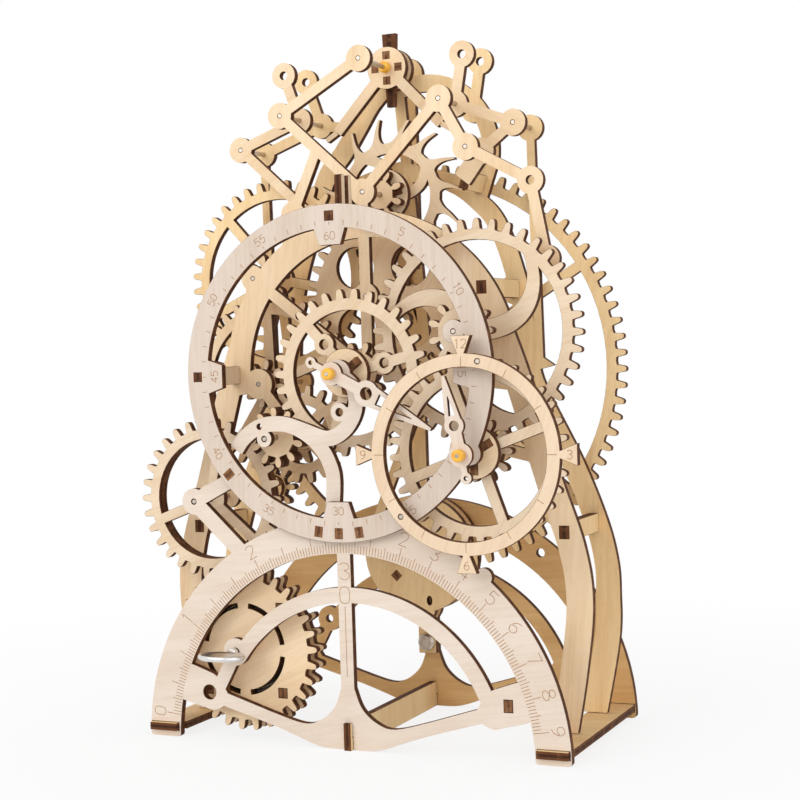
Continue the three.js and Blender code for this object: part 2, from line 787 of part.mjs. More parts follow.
function box(width, depth, height, x, y, z) {
  const geometry = new THREE.BoxGeometry(width, depth, height);
  geometry.translate(x, y, z);
  return solid(geometry);
}

// Upright spar along the middle of the base, half-lapped with both arches
function centreSpar() {
  const front = archY - sparProud;
  const back = backFrameY + sheet + sparProud;
  const lap = sparHeight / 2 - seatGap;
  const body = box(sheet, back - front, sparHeight, 0, (front + back) / 2, sparHeight / 2);
  const notches = [archY, backFrameY].map((y) =>
    box(2 * sheet, sheet + 2 * seatGap, sparHeight, 0, y + sheet / 2, lap + sparHeight / 2));
  return cut(body, notches);
}

function minuteDial() {
  const plate = layer(minuteDialY);
  const bodies = [plate.band(minuteAxis, minuteDialR, minuteDialWidth, 0, 180)];
  bodies.push(plate.band(minuteAxis, minuteDialR, minuteDialWidth, 180, 360));
  const innerR = minuteDialR - minuteDialWidth;
  for (const degrees of [0, 90, 180, 270]) {
    const place = (radius, offset) => polar(polar(minuteAxis, radius, degrees), offset, degrees + 90);
    bodies.push(plate.add([
      place(innerR + flagNeck, -flagOuter), place(innerR + flagNeck, flagOuter),
      place(innerR - flagDepth, flagInner), place(innerR - flagDepth, -flagInner),
    ]));
  }
  for (const axis of [motionAxis, hourAxis]) {
    const reach = Math.hypot(axis[0] - minuteAxis[0], axis[1] - minuteAxis[1]);
    const seat = [0, 1].map((i) => minuteAxis[i] + ((axis[i] - minuteAxis[i]) * dialPostR) / reach);
    bodies.push(plate.disc(axis, lugR), plate.bar(axis, seat, strutWidth));
  }
  const pins = hourPinTurns.map((degrees) => plate.hole(hourPin(degrees), boreR));
  const posts = Object.values(dialPosts).map((post) =>
    plate.slot(post, dialPostSide + 2 * seatGap, dialPostSide + 2 * seatGap));
  const bores = [motionAxis, hourAxis].map((axis) => plate.hole(axis, boreR));
  return cut(unite(bodies), pins.concat(posts, bores));
}

function hourPin(degrees) {
  return polar(hourAxis, hourDialR - hourDialWidth / 2, degrees);
}

function hourDial() {
  const plate = layer(hourDialY);
  const bodies = [plate.band(hourAxis, hourDialR, hourDialWidth, 0, 180)];
  bodies.push(plate.band(hourAxis, hourDialR, hourDialWidth, 180, 360));
  for (const degrees of [0, 90, 180, 270]) {
    const place = (radius, offset) => polar(polar(hourAxis, radius, degrees), offset, degrees + 90);
    bodies.push(plate.add([
      place(hourDialR - flagNeck, -flagNeck), place(hourFlagReach, -hourFlagHalf),
      place(hourFlagReach, hourFlagHalf), place(hourDialR - flagNeck, flagNeck),
    ]));
  }
  return cut(unite(bodies), hourPinTurns.map((degrees) => plate.hole(hourPin(degrees), boreR)));
}

// Hand with a ring part way along, a split point and a small ring on its tail
function hand(front, turn, reach, ringReach, ringR, tailReach) {
  const plate = layer(front, handSheet);
  const ring = polar(centre, ringReach, turn);
  const tail = polar(centre, -tailReach, turn);
  const tip = polar(centre, reach, turn);
  const bodies = [
    plate.disc(centre, handHubR),
    plate.disc(ring, ringR),
    plate.disc(tail, handTailR),
    plate.bar(tail, ring, handStem),
  ];
  for (const side of [-1, 1]) {
    const root = polar(ring, ringR - handTine, turn + side * handTineTurn);
    bodies.push(plate.bar(root, tip, handTine));
  }
  const holes = [plate.hole(centre, boreR), plate.hole(ring, ringR / 2), plate.hole(tail, handTailHole)];
  return cut(unite(bodies), holes);
}

function barrelFrontGear(phase) {
  const plate = layer(barrelFrontY);
  const cutters = [plate.hole(centre, windArborR + runGap)];
  for (let i = 0; i < barrelTabs; i += 1) {
    const turn = (360 * (i + 0.5)) / barrelTabs;
    const half = barrelSlotSpan / 2;
    cutters.push(plate.punch(bandPoints(centre, barrelSlotR, barrelSlotWidth, turn - half, turn + half)));
    const side = barrelTabSide + 2 * seatGap;
    cutters.push(plate.slot(polar(centre, barrelTabR, turn), side, side, turn + 45));
  }
  return cut(plate.add(toothPoints(barrelTeeth, phase, wheelRootShare, wheelTipShare)), cutters);
}

function barrelRearGear(phase) {
  const plate = layer(firstWheelY);
  const bodies = [plate.add(toothPoints(barrelTeeth, phase, wheelRootShare, wheelTipShare))];
  for (let i = 0; i < barrelTabs; i += 1) {
    const turn = (360 * (i + 0.5)) / barrelTabs;
    const tab = rectPoints(polar(centre, barrelTabR, turn), barrelTabSide, barrelTabSide, turn + 45);
    bodies.push(prism(tab, barrelFrontY, firstWheelY + sheet));
  }
  return unite(bodies).subtract(plate.hole(centre, windArborR + runGap));
}

// Spiral mainspring between the two barrel gears
function mainspring() {
  const steps = 14 * springTurns;
  const outside = [];
  const inside = [];
  for (let i = 0; i <= steps; i += 1) {
    const radius = springInnerR + ((springOuterR - springInnerR) * i) / steps;
    const degrees = (360 * springTurns * i) / steps;
    outside.push(polar(centre, radius, degrees));
    inside.unshift(polar(centre, radius - springThick, degrees));
  }
  return prism(outside.concat(inside), barrelFrontY + sheet + seatGap, firstWheelY - seatGap);
}

// Winding key: a flat oval bow on a collar that fits over the arbor's end
function windingKey() {
  const collarBack = archY - 2 * seatGap;
  const collarFront = collarBack - keyCollarLength;
  const bow = new THREE.Shape();
  bow.absellipse(0, collarFront - keyBowWide + keyBowSink, keyBowLong, keyBowWide, 0, 2 * Math.PI, false, 0);
  const settings = { depth: keyBowThick, bevelEnabled: false, curveSegments: 16 };
  const bowGeometry = new THREE.ExtrudeGeometry(bow, settings);
  bowGeometry.translate(0, 0, -keyBowThick / 2);
  const collar = alongY(centre, keyCollarR, collarFront, collarBack);
  const socket = alongY(centre, windArborR + runGap, collarBack - keySocketDepth, collarBack + cutOver);
  return solid(bowGeometry).add(collar).subtract(socket);
}

// Escape wheel with long hooked teeth and four arms
function escapeWheel() {
  const plate = layer(escapeY);
  const step = 360 / escapeTeeth;
  const profile = [[0, 0], [0.3, 0], [0.36, 0.2], [0.05, 1], [0.62, 0.2], [0.72, 0]];
  const points = [];
  for (let i = 0; i < escapeTeeth; i += 1) {
    for (const [share, rise] of profile) {
      points.push(polar(centre, escapeRootR + (escapeR - escapeRootR) * rise, (i + share) * step));
    }
  }
  const rim = plate.add(points).subtract(plate.hole(centre, escapeRootR - escapeRim));
  const bodies = [rim, plate.disc(centre, wheelHubR)];
  const rimMid = escapeRootR - escapeRim / 2;
  for (let i = 0; i < escapeArms; i += 1) {
    const turn = (360 * i) / escapeArms;
    const route = [0, 0.5, 1].map((t) => polar(centre, rimMid * t, turn + escapeArmSweep * t * t));
    bodies.push(plate.strip(route, spokeWidth, 3));
  }
  return unite(bodies).subtract(plate.hole(centre, boreR));
}

// Anchor: two discs tied by tabs, with the pallet arms on the front one
function anchorRotor() {
  const plate = layer(escapeY);
  const rearDisc = layer(rotorY);
  const bodies = [plate.disc(centre, rotorR), rearDisc.disc(centre, rotorR)];
  for (const side of [-1, 1]) {
    const tab = rectPoints([side * rotorTabR, 0], rotorTabSide, rotorTabSide);
    bodies.push(prism(tab, escapeY, rotorY + sheet));
    const pallet = [side * palletX, -palletDrop];
    bodies.push(plate.bar(centre, pallet, palletWidth));
    const toe = [side * (palletX + palletToeX), -palletDrop - palletToeDrop];
    bodies.push(plate.bar(pallet, toe, palletWidth / 2));
  }
  const bore = prism(circlePoints(centre, boreR), escapeY - cutOver, rotorY + sheet + cutOver);
  return unite(bodies).subtract(bore);
}

function rotorKey() {
  const plate = layer(escapeY + sheet + seatGap, sheet - 2 * seatGap);
  const body = plate.add([
    [-rotorKeyBottomHalf, -rotorKeyDrop], [rotorKeyBottomHalf, -rotorKeyDrop],
    [rotorKeyTopHalf, rotorKeyRise], [-rotorKeyTopHalf, rotorKeyRise],
  ]);
  return body.subtract(plate.hole(centre, boreR));
}

function pendulumRod() {
  const plate = layer(rodY);
  const bottom = [0, bobLobeZ - anchorAxis[1]];
  return unite([plate.disc(centre, rodWidth), plate.bar(centre, bottom, rodWidth)])
    .subtract(plate.hole(centre, boreR));
}

function bobPlate(front, withTail) {
  const plate = layer(front);
  const place = (x, z) => [x, z - anchorAxis[1]];
  const bodies = [
    plate.disc(place(0, bobZ), bobR),
    plate.disc(place(0, bobLobeZ), bobLobeR),
    plate.bar(place(0, bobLobeZ), place(0, bobZ), 2 * bobLobeR),
  ];
  if (withTail) {
    bodies.push(plate.bar(place(0, bobLobeZ), place(0, weightZ - weightR), tailWidth));
  }
  const holes = [-1, 1].map((side) =>
    plate.slot(place(side * bobDiamondX, bobDiamondZ), bobDiamondSide, bobDiamondSide, 45));
  return cut(unite(bodies), holes);
}

// Static pieces
addPiece("front_arch_frame", frontArch(), paleWood);
addPiece("back_arch_frame", archFrame(backFrameY), rearWood);
addPiece("base_bar_left", baseBar(-1), wheelWood);
addPiece("base_bar_right", baseBar(1), wheelWood);
addPiece("centre_spar", centreSpar(), rearWood);
addPiece("front_main_plate", frontPlate(), wheelWood);
addPiece("rear_main_plate", rearPlate(), rearWood);
addPiece("minute_dial", minuteDial(), paleWood);
addPiece("hour_dial", hourDial(), paleWood);
for (const [name, place] of Object.entries(pillars)) {
  addPiece(name, pillar(place), rearWood);
}
addPiece("dial_post_top", forkPost(dialPosts.dial_post_top), wheelWood);
addPiece("dial_post_left", deepPost(dialPosts.dial_post_left), wheelWood);
["hour_dial_pin_upper", "hour_dial_pin_lower"].forEach((name, i) => {
  addPiece(name, alongY(hourPin(hourPinTurns[i]), arborR, hourDialY, minuteDialY + sheet), steel);
});
addPiece("pillar_top", topPillar(), rearWood);
const leverLayer = layer(leverY);
const stub = leverLayer.bar(linkG, linkM, leverStub);
addPiece("lever_left", lever(leverLayer, [linkD, linkB, linkC, linkK]), wheelWood);
addPiece("lever_right", lever(leverLayer, [linkH, linkF, linkI, linkG]).add(stub), wheelWood);
const linkPins = {
  link_pin_left: [linkB, frontPlateY],
  link_pin_far_left: [linkC, leverY],
  link_pin_right: [linkF, frontPlateY],
  link_pin_far_right: [linkI, leverY],
};
for (const [name, [place, front]] of Object.entries(linkPins)) {
  addPiece(name, alongY(place, arborR, front, rearPlateY + sheet), steel);
}

// Tooth phases down the train
const firstPhase = 0;
const barrelPhase = meshPhase(firstTeeth, firstPhase, firstAxis, barrelTeeth, barrelAxis);
const interPhase = meshPhase(firstTeeth, firstPhase, firstAxis, interPinionTeeth, interAxis);
const minutePhase = meshPhase(interPinionTeeth, interPhase, interAxis, minuteTeeth, minuteAxis);
const motionPhase = meshPhase(minutePinionTeeth, 0, minuteAxis, motionTeeth, motionAxis);
const hourPhase = meshPhase(motionPinionTeeth, 0, motionAxis, hourTeeth, hourAxis);
const secondPinionPhase = meshPhase(interWheelTeeth, 0, interAxis, secondPinionTeeth, secondAxis);
const thirdPinionPhase = meshPhase(secondTeeth, 0, secondAxis, thirdPinionTeeth, thirdAxis);
const fourthPinionPhase = meshPhase(thirdTeeth, 0, thirdAxis, fourthPinionTeeth, fourthAxis);
const escapePinionPhase = meshPhase(fourthTeeth, 0, fourthAxis, escapePinionTeeth, escapeAxis);
const rearPhase = meshPhase(rearPinionTeeth, 0, firstAxis, rearTeeth, rearAxis);
const rearPlateBack = rearPlateY + sheet;
const frontPlateBack = frontPlateY + sheet;

// Barrel and winding
addPiece("barrel_front_gear", barrelFrontGear(barrelPhase), wheelWood, barrelAxis);
addPiece("barrel_rear_gear", barrelRearGear(barrelPhase), wheelWood, barrelAxis);
addPiece("mainspring", mainspring(), steel, barrelAxis);
const windFront = archY - 2 * seatGap - keySocketDepth + seatGap;
addPiece("winding_arbor", alongY(centre, windArborR, windFront, frontPlateBack), steel, barrelAxis);
addPiece("winding_key", windingKey(), steel, barrelAxis);

// First wheel, with the rear wheel's pinion on its arbor
addPiece(
  "first_wheel",
  spokedWheel(firstWheelY, firstTeeth, firstPhase, 3, firstSpokeTurn),
  wheelWood,
  firstAxis,
);
addPiece(
  "first_pinion_arbor",
  pinionArbor(archY, rearWheelY + sheet + arborProud, rearPinionTeeth, 0, rearWheelY),
  rearWood,
  firstAxis,
);
addPiece("rear_wheel", spokedWheel(rearWheelY, rearTeeth, rearPhase, 5, rearSpokeTurn), rearWood, rearAxis);
addPiece("rear_arbor", alongY(centre, arborR, rearPlateY, rearWheelY + sheet), steel, rearAxis);

// Intermediate pinion and wheel
addPiece(
  "inter_pinion_arbor",
  pinionArbor(archY, interWheelY + sheet, interPinionTeeth, interPhase, minuteWheelY, 2 * sheet),
  wheelWood,
  interAxis,
);
addPiece(
  "inter_wheel",
  spokedWheel(interWheelY, interWheelTeeth, 0, 4, interSpokeTurn),
  wheelWood,
  interAxis,
);

// Minute arbor with its wheel, pinion and hand
addPiece(
  "minute_wheel",
  spokedWheel(minuteWheelY, minuteTeeth, minutePhase, 3, minuteSpokeTurn, minuteSpokeRingR),
  wheelWood,
  minuteAxis,
);
addPiece(
  "minute_pinion_arbor",
  pinionArbor(minuteHandY - arborProud, frontPlateBack, minutePinionTeeth, 0, motionWheelY),
  wheelWood,
  minuteAxis,
);
addPiece(
  "minute_hand",
  hand(minuteHandY, minuteHandTurn, minuteHandReach, minuteRingReach, minuteRingR, minuteTailReach),
  paleWood,
  minuteAxis,
);
addPiece(
  "minute_bush",
  alongY(centre, bushR, minuteHandY - seatGap - bushLength, minuteHandY - seatGap)
    .subtract(alongY(centre, boreR, minuteHandY - bushSocket, minuteHandY)),
  silicone,
  minuteAxis,
);

// Motion work and hour arbor
addPiece(
  "motion_wheel",
  sweptWheel(motionWheelY, motionTeeth, motionPhase, 3, motionArmTurn, motionArmSweep),
  wheelWood,
  motionAxis,
);
addPiece(
  "motion_pinion_arbor",
  pinionArbor(minuteDialY, frontPlateBack, motionPinionTeeth, 0, hourWheelY),
  wheelWood,
  motionAxis,
);
addPiece("hour_wheel", spokedWheel(hourWheelY, hourTeeth, hourPhase, 4, hourSpokeTurn), wheelWood, hourAxis);
addPiece(
  "hour_pinion_arbor",
  pinionArbor(hourHandY - arborProud, frontPlateBack, hourPinionTeeth, 0, minuteWheelY),
  wheelWood,
  hourAxis,
);
addPiece(
  "hour_hand",
  hand(hourHandY, hourHandTurn, hourHandReach, hourRingReach, hourRingR, hourTailReach),
  paleWood,
  hourAxis,
);
addPiece(
  "hour_bush",
  alongY(centre, bushR, hourHandY - seatGap - bushLength, hourHandY - seatGap)
    .subtract(alongY(centre, boreR, hourHandY - bushSocket, hourHandY)),
  silicone,
  hourAxis,
);

// Train between the movement plates
addPiece(
  "second_wheel",
  spokedWheel(secondWheelY, secondTeeth, 0, 5, secondSpokeTurn),
  wheelWood,
  secondAxis,
);
addPiece(
  "second_pinion_arbor",
  pinionArbor(frontPlateY, rearPlateBack, secondPinionTeeth, secondPinionPhase, interWheelY),
  wheelWood,
  secondAxis,
);
addPiece("third_wheel", spokedWheel(thirdWheelY, thirdTeeth, 0, 5, thirdSpokeTurn), rearWood, thirdAxis);
addPiece(
  "third_pinion_arbor",
  pinionArbor(frontPlateY, rearPlateBack, thirdPinionTeeth, thirdPinionPhase, secondWheelY),
  wheelWood,
  thirdAxis,
);
addPiece(
  "fourth_wheel",
  piercedWheel(fourthWheelY, fourthTeeth, 0, 4, fourthHoleR, fourthHoleReach),
  wheelWood,
  fourthAxis,
);
addPiece(
  "fourth_pinion_arbor",
  pinionArbor(frontPlateY, rearPlateBack, fourthPinionTeeth, fourthPinionPhase, thirdWheelY),
  wheelWood,
  fourthAxis,
);
addPiece("escape_wheel", escapeWheel(), rearWood, escapeAxis);
addPiece(
  "escape_pinion_arbor",
  pinionArbor(frontPlateY, rearPlateBack, escapePinionTeeth, escapePinionPhase, fourthWheelY),
  wheelWood,
  escapeAxis,
);

// Anchor and pendulum
addPiece("anchor_rotor", anchorRotor(), wheelWood, anchorAxis);
addPiece("rotor_key", rotorKey(), rearWood, anchorAxis);
addPiece("anchor_arbor", alongY(centre, arborR, frontPlateY, rodY + sheet + seatGap), steel, anchorAxis);
addPiece(
  "anchor_bush",
  alongY(centre, bushR, escapeY - seatGap - bushLength, escapeY - seatGap)
    .subtract(alongY(centre, boreR, escapeY - 2 * bushLength, escapeY + cutOver)),
  silicone,
  anchorAxis,
);
addPiece("pendulum_rod", pendulumRod(), rearWood, anchorAxis);
addPiece("bob_front", bobPlate(bobFrontY, false), rearWood, anchorAxis);
addPiece("bob_rear", bobPlate(bobRearY, true), rearWood, anchorAxis);
addPiece(
  "bob_weight",
  alongY([0, weightZ - anchorAxis[1]], weightR, bobFrontY, bobRearY - seatGap),
  steel,
  anchorAxis,
);

export default clock;
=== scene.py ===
import json
import math

import bmesh
import bpy
from mathutils import Matrix, Vector
from mathutils.geometry import delaunay_2d_cdt


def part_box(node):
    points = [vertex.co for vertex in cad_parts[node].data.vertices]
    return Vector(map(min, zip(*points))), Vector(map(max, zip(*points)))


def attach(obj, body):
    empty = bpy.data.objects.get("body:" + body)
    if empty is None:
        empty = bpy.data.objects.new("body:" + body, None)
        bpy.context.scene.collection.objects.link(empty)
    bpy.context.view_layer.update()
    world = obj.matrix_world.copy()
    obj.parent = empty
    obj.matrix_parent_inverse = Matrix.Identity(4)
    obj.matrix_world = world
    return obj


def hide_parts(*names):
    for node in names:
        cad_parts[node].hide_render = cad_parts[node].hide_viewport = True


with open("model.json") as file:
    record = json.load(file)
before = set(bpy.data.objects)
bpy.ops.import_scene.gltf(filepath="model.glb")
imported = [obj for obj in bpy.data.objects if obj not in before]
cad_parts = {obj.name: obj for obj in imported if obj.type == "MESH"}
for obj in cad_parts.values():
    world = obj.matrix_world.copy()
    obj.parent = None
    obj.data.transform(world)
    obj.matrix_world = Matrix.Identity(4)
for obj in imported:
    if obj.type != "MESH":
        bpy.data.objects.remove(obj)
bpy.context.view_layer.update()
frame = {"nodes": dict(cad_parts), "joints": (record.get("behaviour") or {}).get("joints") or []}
print("frame loaded:", len(frame["nodes"]), "nodes")

mm = 0.001
boardThick = 3
pinRadius = 1
boreSizes = {"arbor": 1.3, "pin": 1.06, "pinion": 1.02, "cheek": 1.05, "winding": 1.8}
scene = bpy.context.scene
scene.view_settings.view_transform = "Standard"

# axes of the turning bodies in the X-Z plane, in millimetres
axes = {joint["child"]: (joint["pos_m"][0] / mm, joint["pos_m"][2] / mm) for joint in frame["joints"]}
minuteAxis, hourAxis, motionAxis, interAxis = (axes[body] for body in ("minute", "hour", "motion", "inter"))
firstAxis, secondAxis, thirdAxis, fourthAxis = (axes[body] for body in ("first", "second", "third", "fourth"))
barrelAxis, escapeAxis = axes["barrel"], axes["escape"]
rearAxis, anchorAxis = axes["rear"], axes["pendulum"]
middle = (0.0, 0.0)


def depths(node):
    low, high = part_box(node)
    return low.y / mm, high.y / mm


def boxPlace(node):
    low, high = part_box(node)
    return ((low.x + high.x) / 2 / mm, (low.z + high.z) / 2 / mm)


# camera: placed as the photograph was taken
cameraSizes = {
    "place": (281.56, -565.17, 152.89), "azimuth": 24.339, "down": 1.678, "roll": -1.7875, "lens": 74.09,
    "sensor": 36, "near": 0.01,
}


def makeCamera(s):
    turn, down, roll = (math.radians(s[key]) for key in ("azimuth", "down", "roll"))
    ahead = Vector((-math.sin(turn) * math.cos(down), math.cos(turn) * math.cos(down), -math.sin(down)))
    right = Vector((math.cos(turn), math.sin(turn), 0))
    up = right.cross(ahead)
    side = right * math.cos(roll) + up * math.sin(roll)
    top = up * math.cos(roll) - right * math.sin(roll)
    data = bpy.data.cameras.new("clockCamera")
    data.lens = s["lens"]
    data.sensor_width = s["sensor"]
    data.clip_start = s["near"]
    camera = bpy.data.objects.new("clockCamera", data)
    scene.collection.objects.link(camera)
    spot = Matrix((side, top, -ahead)).transposed().to_4x4()
    spot.translation = Vector(s["place"]) * mm
    camera.matrix_world = spot
    scene.camera = camera


makeCamera(cameraSizes)
print("camera placed")


# materials
def tint(rgb):
    return tuple(c / 255 / 12.92 if c <= 10 else ((c / 255 + 0.055) / 1.055) ** 2.4 for c in rgb) + (1,)


def feed(tree, socket, value):
    # a link from another node, or a plain value
    if isinstance(value, bpy.types.NodeSocket):
        tree.links.new(value, socket)
    elif value is not None:
        socket.default_value = value


class Finish:
    def __init__(self, name):
        self.material = bpy.data.materials.new(name)
        self.material.use_nodes = True
        self.tree = self.material.node_tree
        self.shader = self.tree.nodes["Principled BSDF"]

    def add(self, kind, **inputs):
        node = self.tree.nodes.new(kind)
        for key, value in inputs.items():
            feed(self.tree, node.inputs[key.replace("_", " ")], value)
        return node

    def set(self, **inputs):
        for key, value in inputs.items():
            feed(self.tree, self.shader.inputs[key.replace("_", " ")], value)

    def spot(self):
        return self.add("ShaderNodeTexCoord").outputs["Object"]

    def stretch(self, space, scale):
        return self.add("ShaderNodeMapping", Vector=space, Scale=scale).outputs[0]

    def noise(self, space, scale, detail, **more):
        return self.add("ShaderNodeTexNoise", Vector=space, Scale=scale, Detail=detail, **more).outputs["Fac"]

    def spread(self, value, low, high, **more):
        return self.add("ShaderNodeMapRange", Value=value, To_Min=low, To_Max=high, **more).outputs[0]

    def bump(self, height, strength, distance):
        return self.add("ShaderNodeBump", Height=height, Strength=strength, Distance=distance).outputs[0]

    def mix(self, factor, a, b, way="MIX"):
        node = self.add("ShaderNodeMix", Factor=factor)
        node.data_type = "RGBA"
        node.blend_type = way
        feed(self.tree, node.inputs[6], a)
        feed(self.tree, node.inputs[7], b)
        return node.outputs[2]

    def ramp(self, factor, stops):
        node = self.add("ShaderNodeValToRGB", Fac=factor)
        marks = node.color_ramp.elements
        while len(marks) < len(stops):
            marks.new(0.5)
        for mark, (place, colour) in zip(marks, stops):
            mark.position = place
            mark.color = colour
        return node.outputs["Color"]


white = (1, 1, 1, 1)
# tones of the wood. The darker copy of the pale tone, on the minute dial, is painted shade. The warmer, more
# saturated tones on the front plate, the levers and the wheels, pinions and other pieces deep in the movement
# are partly the wood's own colour, partly painted warm bounce light in the shade between the parts. The darker
# amber of the back arch is partly its own colour, partly painted shade.
woods = {
    "pale": {"light": (229, 214, 199), "dark": (222, 204, 186), "streak": (205, 181, 156)},
    "bone": {"light": (218, 202, 188), "dark": (211, 193, 176), "streak": (196, 174, 152)},
    "cream": {"light": (233, 209, 180), "dark": (225, 199, 168), "streak": (205, 177, 143)},
    "honey": {"light": (235, 214, 186), "dark": (227, 202, 169), "streak": (205, 171, 130)},
    "warm": {"light": (242, 217, 182), "dark": (234, 204, 164), "streak": (206, 170, 126)},
    "straw": {"light": (238, 206, 156), "dark": (226, 188, 134), "streak": (196, 152, 100)},
    "tan": {"light": (246, 217, 168), "dark": (235, 200, 148), "streak": (204, 162, 110)},
    "amber": {"light": (231, 193, 136), "dark": (217, 174, 116), "streak": (190, 144, 90)},
}
slotOf = {
    "pale": "pale_plywood", "bone": "pale_plywood", "cream": "pale_plywood", "honey": "plywood",
    "warm": "plywood", "straw": "plywood", "tan": "rear_plywood", "amber": "rear_plywood",
}
grainSizes = {
    "fibre": (38.0, 620.0, 620.0), "pore": (228.0, 2400.0, 2400.0), "figure": (14.0, 70.0, 70.0),
    "lines": 0.13, "flecks": 0.16, "rough": (0.7, 0.56), "bump": 0.00006,
}
woodCache = {}


def plywood(tone, turn):
    key = (tone, turn)
    if key in woodCache:
        return woodCache[key]
    g = grainSizes
    light, dark, streak = (tint(woods[tone][part]) for part in ("light", "dark", "streak"))
    f = Finish(f"plywood_{tone}_{turn}")
    turned = f.add("ShaderNodeMapping", Vector=f.spot(), Rotation=(0, math.radians(turn), 0)).outputs[0]
    fibre = f.noise(f.stretch(turned, g["fibre"]), 1.0, 4.0, Roughness=0.6)
    pore = f.noise(f.stretch(turned, g["pore"]), 1.0, 2.0, Roughness=0.5)
    figure = f.noise(f.stretch(turned, g["figure"]), 1.0, 3.0, Distortion=0.6)
    base = f.ramp(figure, [(0.32, dark), (0.62, light)])
    lined = f.mix(g["lines"], base, f.ramp(fibre, [(0.36, streak), (0.56, white)]), "MULTIPLY")
    flecked = f.mix(g["flecks"], lined, f.ramp(pore, [(0.3, streak), (0.4, white)]), "MULTIPLY")
    f.set(Base_Color=flecked, Roughness=f.spread(fibre, *g["rough"]), Normal=f.bump(fibre, 0.35, g["bump"]),
          Specular_IOR_Level=0.3)
    woodCache[key] = f.material
    return f.material


burntTones = {
    "burnt_edge": {"outer": (97, 58, 33), "inner": (62, 35, 20), "light": (148, 102, 64), "patch": 260.0},
    "burnt_tab": {"outer": (124, 82, 52), "inner": (90, 57, 37), "light": (178, 136, 96), "patch": 420.0},
}


def burntEdge(name):
    # laser-cut edge: three veneers, the middle one darkest, with lighter patches
    t = burntTones[name]
    outer, inner, light = (tint(t[part]) for part in ("outer", "inner", "light"))
    f = Finish(name)
    layer = f.add("ShaderNodeAttribute")
    layer.attribute_name = "ply"
    veneers = [(0.0, outer), (0.3, outer), (0.36, inner), (0.64, inner), (0.7, outer)]
    plies = f.ramp(layer.outputs["Fac"], veneers)
    patch = f.noise(f.spot(), t["patch"], 4.0, Roughness=0.65)
    share = f.spread(patch, 0.0, 0.6, From_Min=0.48, From_Max=0.75)
    f.set(Base_Color=f.mix(share, plies, light), Roughness=0.75, Normal=f.bump(patch, 0.4, 0.0001),
          Specular_IOR_Level=0.2)
    return f.material


finishSizes = {
    "engraved_line": {"scale": 900.0, "detail": 2.0, "dark": (150, 108, 72), "light": (188, 146, 104),
                      "even": {"Roughness": 0.8}},
    "turned_steel": {"lathe": (300, 4000, 300), "scale": 1.0, "detail": 2.0, "dark": (178, 166, 152),
                     "light": (214, 204, 192), "rough": (0.28, 0.46), "even": {"Metallic": 1.0}},
    "spring_steel": {"scale": 220.0, "detail": 2.0, "dark": (46, 40, 36), "light": (74, 66, 58),
                     "even": {"Roughness": 0.5, "Metallic": 0.6}},
    "polished_steel": {"scale": 140.0, "detail": 3.0, "dark": (208, 206, 204), "light": (234, 232, 230),
                       "rough": (0.19, 0.33), "even": {"Metallic": 1.0}},
    "yellow_silicone": {"scale": 500.0, "detail": 2.0, "dark": (240, 166, 36), "light": (252, 198, 72),
                        "even": {"Roughness": 0.4, "Subsurface_Weight": 0.25,
                                 "Subsurface_Radius": (0.002, 0.001, 0.0004)}},
}


def clouded(name):
    # soft cloud between two tones
    s = finishSizes[name]
    f = Finish(name)
    space = f.stretch(f.spot(), s["lathe"]) if "lathe" in s else f.spot()
    cloud = f.noise(space, s["scale"], s["detail"])
    f.set(Base_Color=f.ramp(cloud, [(0.3, tint(s["dark"])), (0.7, tint(s["light"]))]), **s["even"])
    if "rough" in s:
        f.set(Roughness=f.spread(cloud, *s["rough"]))
    return f.material


edgeFinish = burntEdge("burnt_edge")
tabFinish = burntEdge("burnt_tab")
lineFinish = clouded("engraved_line")
pinFinish = clouded("turned_steel")
keyFinish = clouded("polished_steel")
springFinish = clouded("spring_steel")
bushFinish = clouded("yellow_silicone")
print("materials made")

# flat outlines: points in the X-Z plane in millimetres, angles in degrees from +X towards +Z
roundSteps = {
    "least": 20, "perRoot": 10, "band": 2.5, "bandLeast": 6, "corner": 5, "pin": 28, "strip": 48, "leg": 96,
    "limb": 40, "crotch": 20, "spike": 14, "arm": 24,
}


def polar(origin, reach, turn):
    angle = math.radians(turn)
    return (origin[0] + reach * math.cos(angle), origin[1] + reach * math.sin(angle))


def turnsOf(count, start=0):
    return [start + 360 * i / count for i in range(count)]


def arc(origin, radius, start, end, steps):
    return [polar(origin, radius, start + (end - start) * i / steps) for i in range(steps + 1)]


def disc(origin, radius):
    steps = max(roundSteps["least"], int(roundSteps["perRoot"] * math.sqrt(radius)))
    return arc(origin, radius, 0, 360, steps)[:-1]


def band(origin, outer, width, start, end, ease=0):
    steps = max(roundSteps["bandLeast"], int(abs(end - start) / roundSteps["band"]))
    outline = arc(origin, outer, start, end, steps) + arc(origin, outer - width, end, start, steps)
    return rounded(outline, ease, (0, steps, steps + 1, 2 * steps + 1)) if ease else outline


def hoop(origin, outer, width):
    return [band(origin, outer, width, start, start + 180) for start in (0, 180)]


def bar(a, b, width):
    a, b = Vector(a), Vector(b)
    along = (b - a).normalized()
    across = Vector((-along.y, along.x)) / 2 * width
    return [tuple(p) for p in (a - across, b - across, b + across, a + across)]


def block(origin, width, height, turn=0):
    across = Vector(polar(middle, width / 2, turn))
    up = Vector(polar(middle, height / 2, turn + 90))
    c = Vector(origin)
    return [tuple(p) for p in (c - across - up, c + across - up, c + across + up, c - across + up)]


def oblong(a, b):
    return [(a[0], a[1]), (b[0], a[1]), (b[0], b[1]), (a[0], b[1])]


def wedge(origin, turn, near, nearHalf, far, farHalf):
    # four corners along a ray, with a half-width at each end
    corners = ((near, -nearHalf), (far, -farHalf), (far, farHalf), (near, nearHalf))
    return [polar(polar(origin, reach, turn), half, turn + 90) for reach, half in corners]


